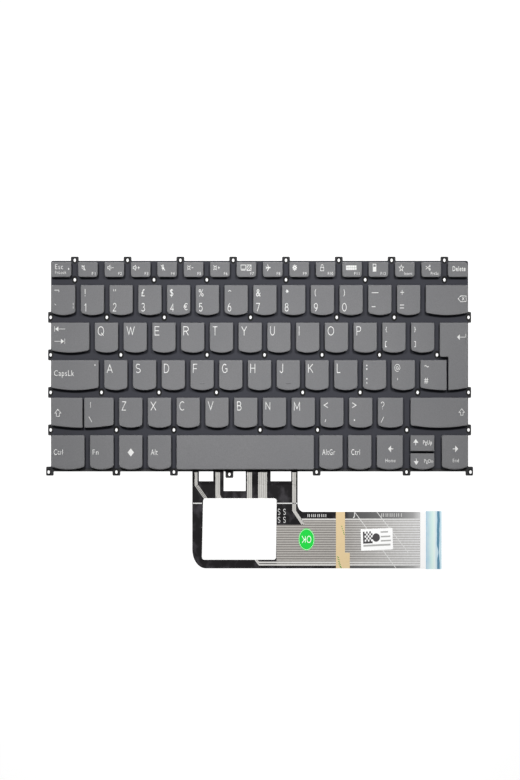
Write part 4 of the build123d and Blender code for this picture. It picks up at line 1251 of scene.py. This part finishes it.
# Labels, tape and contact end
labels = {
    "low": 0.25, "high": 0.35, "edgeDrop": 0.02, "edgeInset": 0.03, "printLift": 0.004, "printThick": 0.012,
    # corners of the blank label, which is cut a little askew
    "blank": ((-38.3, -92.9), (10.9, -92.9), (11.3, -63.4), (-37.4, -63.4)), "blankCorner": 1.5,
    "sticker": (31.1, -83.1, 5.3), "rimInset": 0.35, "rimWidth": 0.16,
    # the tape's left and right, its foot's right and rear; its faces fan out from a point tapeFan behind
    # its front
    "tape": (50.6, 56.6, 59.8, -89.5), "tapeFan": 3.5,
    # slanting dashes on the tape: length across, width and places; each drops by dashDrop
    "dashDrop": 0.5,
    "tapeDashes": (
        (0.75, 0.3, ((54.0, -76.6), (54.5, -77.6), (55.0, -78.6), (55.4, -79.6), (55.7, -80.4))),
        (1.3, 0.35, ((51.4, -91.4), (51.7, -92.5), (52.0, -93.6), (52.4, -94.7), (52.8, -95.7),
                     (53.2, -96.3))),
    ),
    "code": (77.7, -83.1, 21.1, 10.3, 2.0),  # middle, width, depth and turn in degrees
    # print on the code label, from its middle: square of cells (left, top, steps across and down, count,
    # overlap), disc (middle and half sizes) and bars (ends, height and width)
    "codeCells": (-9.1, 4.0, 1.05, 0.96, 6, 0.02),
    "codeDisc": (-0.4, 0.9, 2.5, 2.05),
    "codeBars": ((2.6, 7.6, 3.4, 0.75), (2.6, 9.0, 1.2, 0.75), (2.6, 9.3, -0.8, 0.75),
                 (-9.0, 9.0, -2.8, 0.9)),
    "stiffener": (110.2, 120.6, -97.4, -69.5), "stiffenerHigh": 0.45,
    "whiteStrip": (106.5, 110.25, -96.9, -70.0), "whiteStripHigh": 0.33,
}
# the dark strip at the contact end: its waves are (size, turn, start), its pinch (depth, place, reach)
edgeShape = {
    "middle": 118.45, "front": -97.3, "length": 27.7, "half": 0.85, "low": 0.452, "high": 0.47, "steps": 60,
    "waves": ((0.1225, 9, 0), (0.077, 23, 1), (0.042, 51, 2)), "pinch": (0.65, -89.3, 2.6),
}


# A thin slab with softly rounded upper edges
def slab(loop, low, high):
    xs, ys = (loop[:, 0].min(), loop[:, 0].max()), (loop[:, 1].min(), loop[:, 1].max())
    middle = loop.mean(0)
    brow = drawnIn(loop, xs, ys, labels["edgeInset"])
    rings = [atHeight(loop, low), atHeight(loop, high - labels["edgeDrop"]), atHeight(brow, high)]
    return closedShell(rings, (*middle, low), (*middle, high))


# Coated paper, calendered: bright and smooth with a trace of fibre. A glow, where given, is painted light
# that lifts white paper above what the lamps give it.
# Fibres are about 1 mm long and 0.03 mm thick; they are drawn 0.5 mm thick so that they show.
def coatedPaper(name, light, dark, gloss, glow=0.0):
    sockets = {"Emission_Color": (1, 1, 1, 1), "Emission_Strength": glow}
    material, tree, shader = startMaterial(name, IOR=1.5, Specular_IOR_Level=0.3, **sockets)
    mottled(tree, shader, 0.5, 3.0, (dark, light), (gloss, gloss + 0.15), (0.08, 0.02), (0.4, 1.0, 1.0))
    return material


# Pale blue PET film with the glue and liner showing as bands along X: blue, mint, nearly white, pale blue.
# Its faint glow in its own colour is painted light, standing in for the white board shining up through it.
def linerFilm():
    sockets = {"Specular_IOR_Level": 0.5, "Coat_Weight": 0.2, "Emission_Strength": 0.2}
    material, tree, shader = startMaterial("bondedBluePetFilm", IOR=1.57, **sockets)
    place = addNode(tree, "ShaderNodeTexCoord")
    streak = addNode(tree, "ShaderNodeTexNoise", {"Scale": 1 / (5 * mm), "Detail": 3.0},
                     {"Vector": (place, "Object")})
    stops = ((0.0, "a6cbe2"), (0.2, "c2e2ee"), (0.38, "ddfaf2"), (0.55, "f2fff9"), (0.66, "d0eaf6"),
             (1.0, "c4e6f4"))
    bands = bandsAlong(tree, place, *labels["stiffener"][:2], stops)
    shade = addNode(tree, "ShaderNodeMapRange", {"From Min": 0.3, "From Max": 0.7, "To Max": 0.4},
                    {"Value": (streak, 0)})
    tone = addNode(tree, "ShaderNodeMix", {"data_type": "RGBA", 7: linear("eaf6f6")},
                   {0: (shade, 0), 6: (bands, 0)})
    rough = addNode(tree, "ShaderNodeMapRange", {"To Min": 0.2, "To Max": 0.4}, {"Value": (streak, 0)})
    joinTo(tree, shader, tone, rough)
    # painted light: the film glows faintly in its own colour
    tree.links.new(tone.outputs[2], shader.inputs["Emission Color"])
    return material


# the white paper glows by painted light
whitePaper = coatedPaper("calenderedWhitePaper", "ffffff", "f8f8f6", 0.45, 0.25)
greyInk = coatedPaper("greyPrintOnPaper", "d2d2d0", "bcbcba", 0.5)
darkInk = coatedPaper("blackPrintOnPaper", "5c595b", "4a484b", 0.5)
greenPaper = coatedPaper("glossGreenPaper", "26f656", "1ee648", 0.3)
beigePaper = coatedPaper("crepedBeigePaper", "ffe6b8", "f6d9a6", 0.6)
low, high = labels["low"], labels["high"]


# Print on a label: flat marks that lie just above the paper
def labelPrint(name, marks, inks):
    surfaces = [flatSurface(points, faces, high + labels["printLift"], part)
                for points, faces, part in marks]
    putMesh(name, surfaces, inks, "keyboard", thick=labels["printThick"])


blankLoop = roundedLoop([(x, y, labels["blankCorner"]) for x, y in labels["blank"]])
putMesh("blank_label_sheet", [slab(blankLoop, low, high)], [whitePaper], "keyboard", ["blank_label"],
        sharp=10)

x, y, radius = labels["sticker"]
stickerDisc = slab(circle(x, y, radius, 48), low, high)
putMesh("ok_sticker_disc", [stickerDisc], [greenPaper], "keyboard", ["ok_sticker"], sharp=10)
okMarks = centred(penMark("O", 0, 0, 3.4, 3.0, 0.36) + penMark("K", 3.7, 0, 3.4, 2.6, 0.36), 0, 0)
# upside down, as the sticker was put on
okMarks = [((x, y) - points, faces, 0) for points, faces in okMarks]
okMarks += [(*inkLine(circle(x, y, radius - labels["rimInset"], 40), labels["rimWidth"], True), 0)]
labelPrint("ok_sticker_print", okMarks, [whitePaper])

a, b, c, foot = labels["tape"]
rear, front = tail["armRear"], tail["front"]
tapeCorners = [(a, front, 0.1), (c, front, 0.1), (c, foot, 0.3), (b, foot, 0.2), (b, rear, 0.1),
               (a, rear, 0.1)]
tapeLoop = roundedLoop(tapeCorners, 4)
tapeMiddle = ((a + b) / 2, front + labels["tapeFan"])
tapeRings = [atHeight(tapeLoop, low), atHeight(tapeLoop, high)]
tapeStrip = closedShell(tapeRings, (*tapeMiddle, low), (*tapeMiddle, high))
putMesh("paper_tape_strip", [tapeStrip], [beigePaper], "keyboard", ["paper_tape"], sharp=10)
dashes = [(*inkLine([(x, y), (x + length, y - labels["dashDrop"])], width), 0)
          for length, width, places in labels["tapeDashes"] for x, y in places]
labelPrint("paper_tape_print", dashes, [coatedPaper("greenPrintOnPaper", "4fae4a", "3a9436", 0.5)])

# the code label's print: a chequered square, a disc and bars, turned with the label
x, y, w, d, turn = labels["code"]
cosine, sine = math.cos(math.radians(turn)), math.sin(math.radians(turn))
spin = np.array([[cosine, sine], [-sine, cosine]])
codeLoop = boxLoop(-w / 2, w / 2, -d / 2, d / 2, 0.25, 4) @ spin + (x, y)
putMesh("code_label_sheet", [slab(codeLoop, low, high)], [whitePaper], "keyboard", ["code_label"],
        sharp=10)
left, top, across, down, count, lap = labels["codeCells"]
filled = [(left + i * across, top - j * down) for i in range(count) for j in range(count)
          if (i + j) % 2 == 0 or i == 0 or j == count - 1]
codeMarks = [inkArea(boxLoop(u, u + across + lap, v - down - lap, v, 0.02, 2)) for u, v in filled]
u, v, halfWide, halfDeep = labels["codeDisc"]
codeMarks += [inkArea(circle(0, 0, 1.0, 24) * (halfWide, halfDeep) + (u, v))]
codeMarks = [(points, faces, 0) for points, faces in codeMarks]
codeMarks += [(*inkLine([(start, v), (end, v)], width), 1) for start, end, v, width in labels["codeBars"]]
codeMarks = [(points @ spin + (x, y), faces, part) for points, faces, part in codeMarks]
labelPrint("code_label_print", codeMarks, [darkInk, greyInk])

stiffener = slab(boxLoop(*labels["stiffener"], 0.3, 4), low, labels["stiffenerHigh"])
putMesh("contact_stiffener_film", [stiffener], [linerFilm()], "keyboard", ["contact_stiffener"],
        sharp=10)
whiteStrip = slab(boxLoop(*labels["whiteStrip"], 0.2, 4), low, labels["whiteStripHigh"])
putMesh("contact_white_strip", [whiteStrip], [whitePaper], "keyboard", (), sharp=10)


# The dark strip wanders by the sum of three sines along its way, and a bell curve pinches it in front
def edgeStrip():
    e = edgeShape
    t = np.linspace(0, 1, e["steps"])
    wander = sum(size * np.sin(turns * t + start) for size, turns, start in e["waves"])
    y = e["front"] + t * e["length"]
    depth, place, reach = e["pinch"]
    half = e["half"] - depth * np.exp(-(((y - place) / reach) ** 2))
    rightEdge, leftEdge = (np.column_stack([e["middle"] + side * half + wander, y]) for side in (1, -1))
    loop = np.concatenate([rightEdge, leftEdge[::-1]])
    points = np.concatenate([atHeight(loop, e["low"]), atHeight(loop, e["high"])])
    count = len(loop)
    i, around = np.arange(e["steps"] - 1), np.arange(count)
    onward = (around + 1) % count
    walls = np.stack([around, onward, onward + count, around + count], 1)
    top = np.stack([i, i + 1, count - 2 - i, count - 1 - i], 1)
    return points, walls.tolist() + (top + count).tolist() + top[:, ::-1].tolist(), 0, np.zeros(len(points))


putMesh("contact_edge_strip", [edgeStrip()], [coatedPaper("bluePetLinerEdge", "78aecb", "6098b8", 0.3)],
        "keyboard")
print("labels and contact end set")


# Floor and light
studio = {
    "floorHalf": 2.5, "floorZ": -0.03, "floorCells": 8,
    "fill": 0.1, "floorGlow": 0.72, "floorLift": 1.28,
    # each lamp's place, aim and size in metres, beam in degrees, and the light it gives at its aim
    "lamps": {
        "rearLeftSoftbox": ((-0.5, 0.54, 1.2), (-0.095, 0.03, 0.0), 0.2, 23, 0.83),
        "rearRightSoftbox": ((0.5, 0.54, 1.2), (0.095, 0.03, 0.0), 0.2, 23, 0.8),
    },
}


# A lamp's power from the light it should give: share x pi squared x distance squared / cosine at the table,
# less what its beam gains by being narrow, which is tan h / (tan h - h) for a half angle h
def addLamps():
    for name, (place, aim, size, beam, share) in studio["lamps"].items():
        data = bpy.data.lights.new(name, "AREA")
        data.shape, data.size, data.spread = "DISK", size, math.radians(beam)
        way = Vector(aim) - Vector(place)
        half = math.radians(beam / 2)
        cosine, narrowing = -way.z / way.length, (math.tan(half) - half) / math.tan(half)
        data.energy = share * math.pi**2 * way.length**2 / cosine * narrowing
        lamp = bpy.data.objects.new(name, data)
        lamp.location = place
        lamp.rotation_euler = way.to_track_quat("-Z", "Y").to_euler()
        scene.collection.objects.link(lamp)


# Seamless white board: matte, faintly mottled. Seen directly or in a reflection it is lifted to white,
# and the share that stays lit by the lamps keeps the object's shadow.
def whiteBoard():
    material, tree, shader = startMaterial("matteWhiteBoard", Roughness=0.8, Specular_IOR_Level=0.1)
    mottled(tree, shader, 60, 2.0, ("f6f6f5", "fdfdfc"))
    ray = addNode(tree, "ShaderNodeLightPath")
    seen = addNode(tree, "ShaderNodeMath", {"operation": "MAXIMUM"},
                   {0: (ray, "Is Camera Ray"), 1: (ray, "Is Glossy Ray")})
    seen = addNode(tree, "ShaderNodeMath", {"operation": "MAXIMUM"},
                   {0: (seen, 0), 1: (ray, "Is Transmission Ray")})
    share = addNode(tree, "ShaderNodeMath", {"operation": "MULTIPLY", 1: studio["floorGlow"]},
                    {0: (seen, 0)})
    glow = addNode(tree, "ShaderNodeEmission", {"Color": (1, 1, 1, 1), "Strength": studio["floorLift"]})
    both = addNode(tree, "ShaderNodeMixShader", {}, {0: (share, 0), 1: (shader, 0), 2: (glow, 0)})
    out = [node for node in tree.nodes if node.type == "OUTPUT_MATERIAL"][0]
    tree.links.new(both.outputs[0], out.inputs["Surface"])
    return material


def addFloor():
    cells = studio["floorCells"]
    side = np.linspace(-studio["floorHalf"], studio["floorHalf"], cells + 1) / mm
    gx, gy = np.meshgrid(side, side)
    points = np.column_stack([gx.ravel(), gy.ravel(), np.full(gx.size, studio["floorZ"])])
    i, j = np.meshgrid(np.arange(cells), np.arange(cells), indexing="ij")
    start = (i * (cells + 1) + j).ravel()
    faces = np.stack([start, start + 1, start + cells + 2, start + cells + 1], 1).tolist()
    floor = putMesh("white_board", [(points, faces, 0, np.zeros(len(points)))], [whiteBoard()], None)


def addWorld():
    world = bpy.data.worlds.new("whiteStudio")
    world.use_nodes = True
    tree = world.node_tree
    tree.nodes.clear()
    ray = addNode(tree, "ShaderNodeLightPath")
    seen = addNode(tree, "ShaderNodeMath", {"operation": "MAXIMUM"},
                   {0: (ray, "Is Camera Ray"), 1: (ray, "Is Transmission Ray")})
    strength = addNode(tree, "ShaderNodeMapRange", {"To Min": studio["fill"], "To Max": 1.0},
                       {"Value": (seen, 0)})
    sky = addNode(tree, "ShaderNodeBackground", {"Color": (1, 1, 1, 1)}, {"Strength": (strength, 0)})
    addNode(tree, "ShaderNodeOutputWorld", {}, {"Surface": (sky, 0)})
    scene.world = world


addLamps()
addFloor()
addWorld()
print("floor and light set")
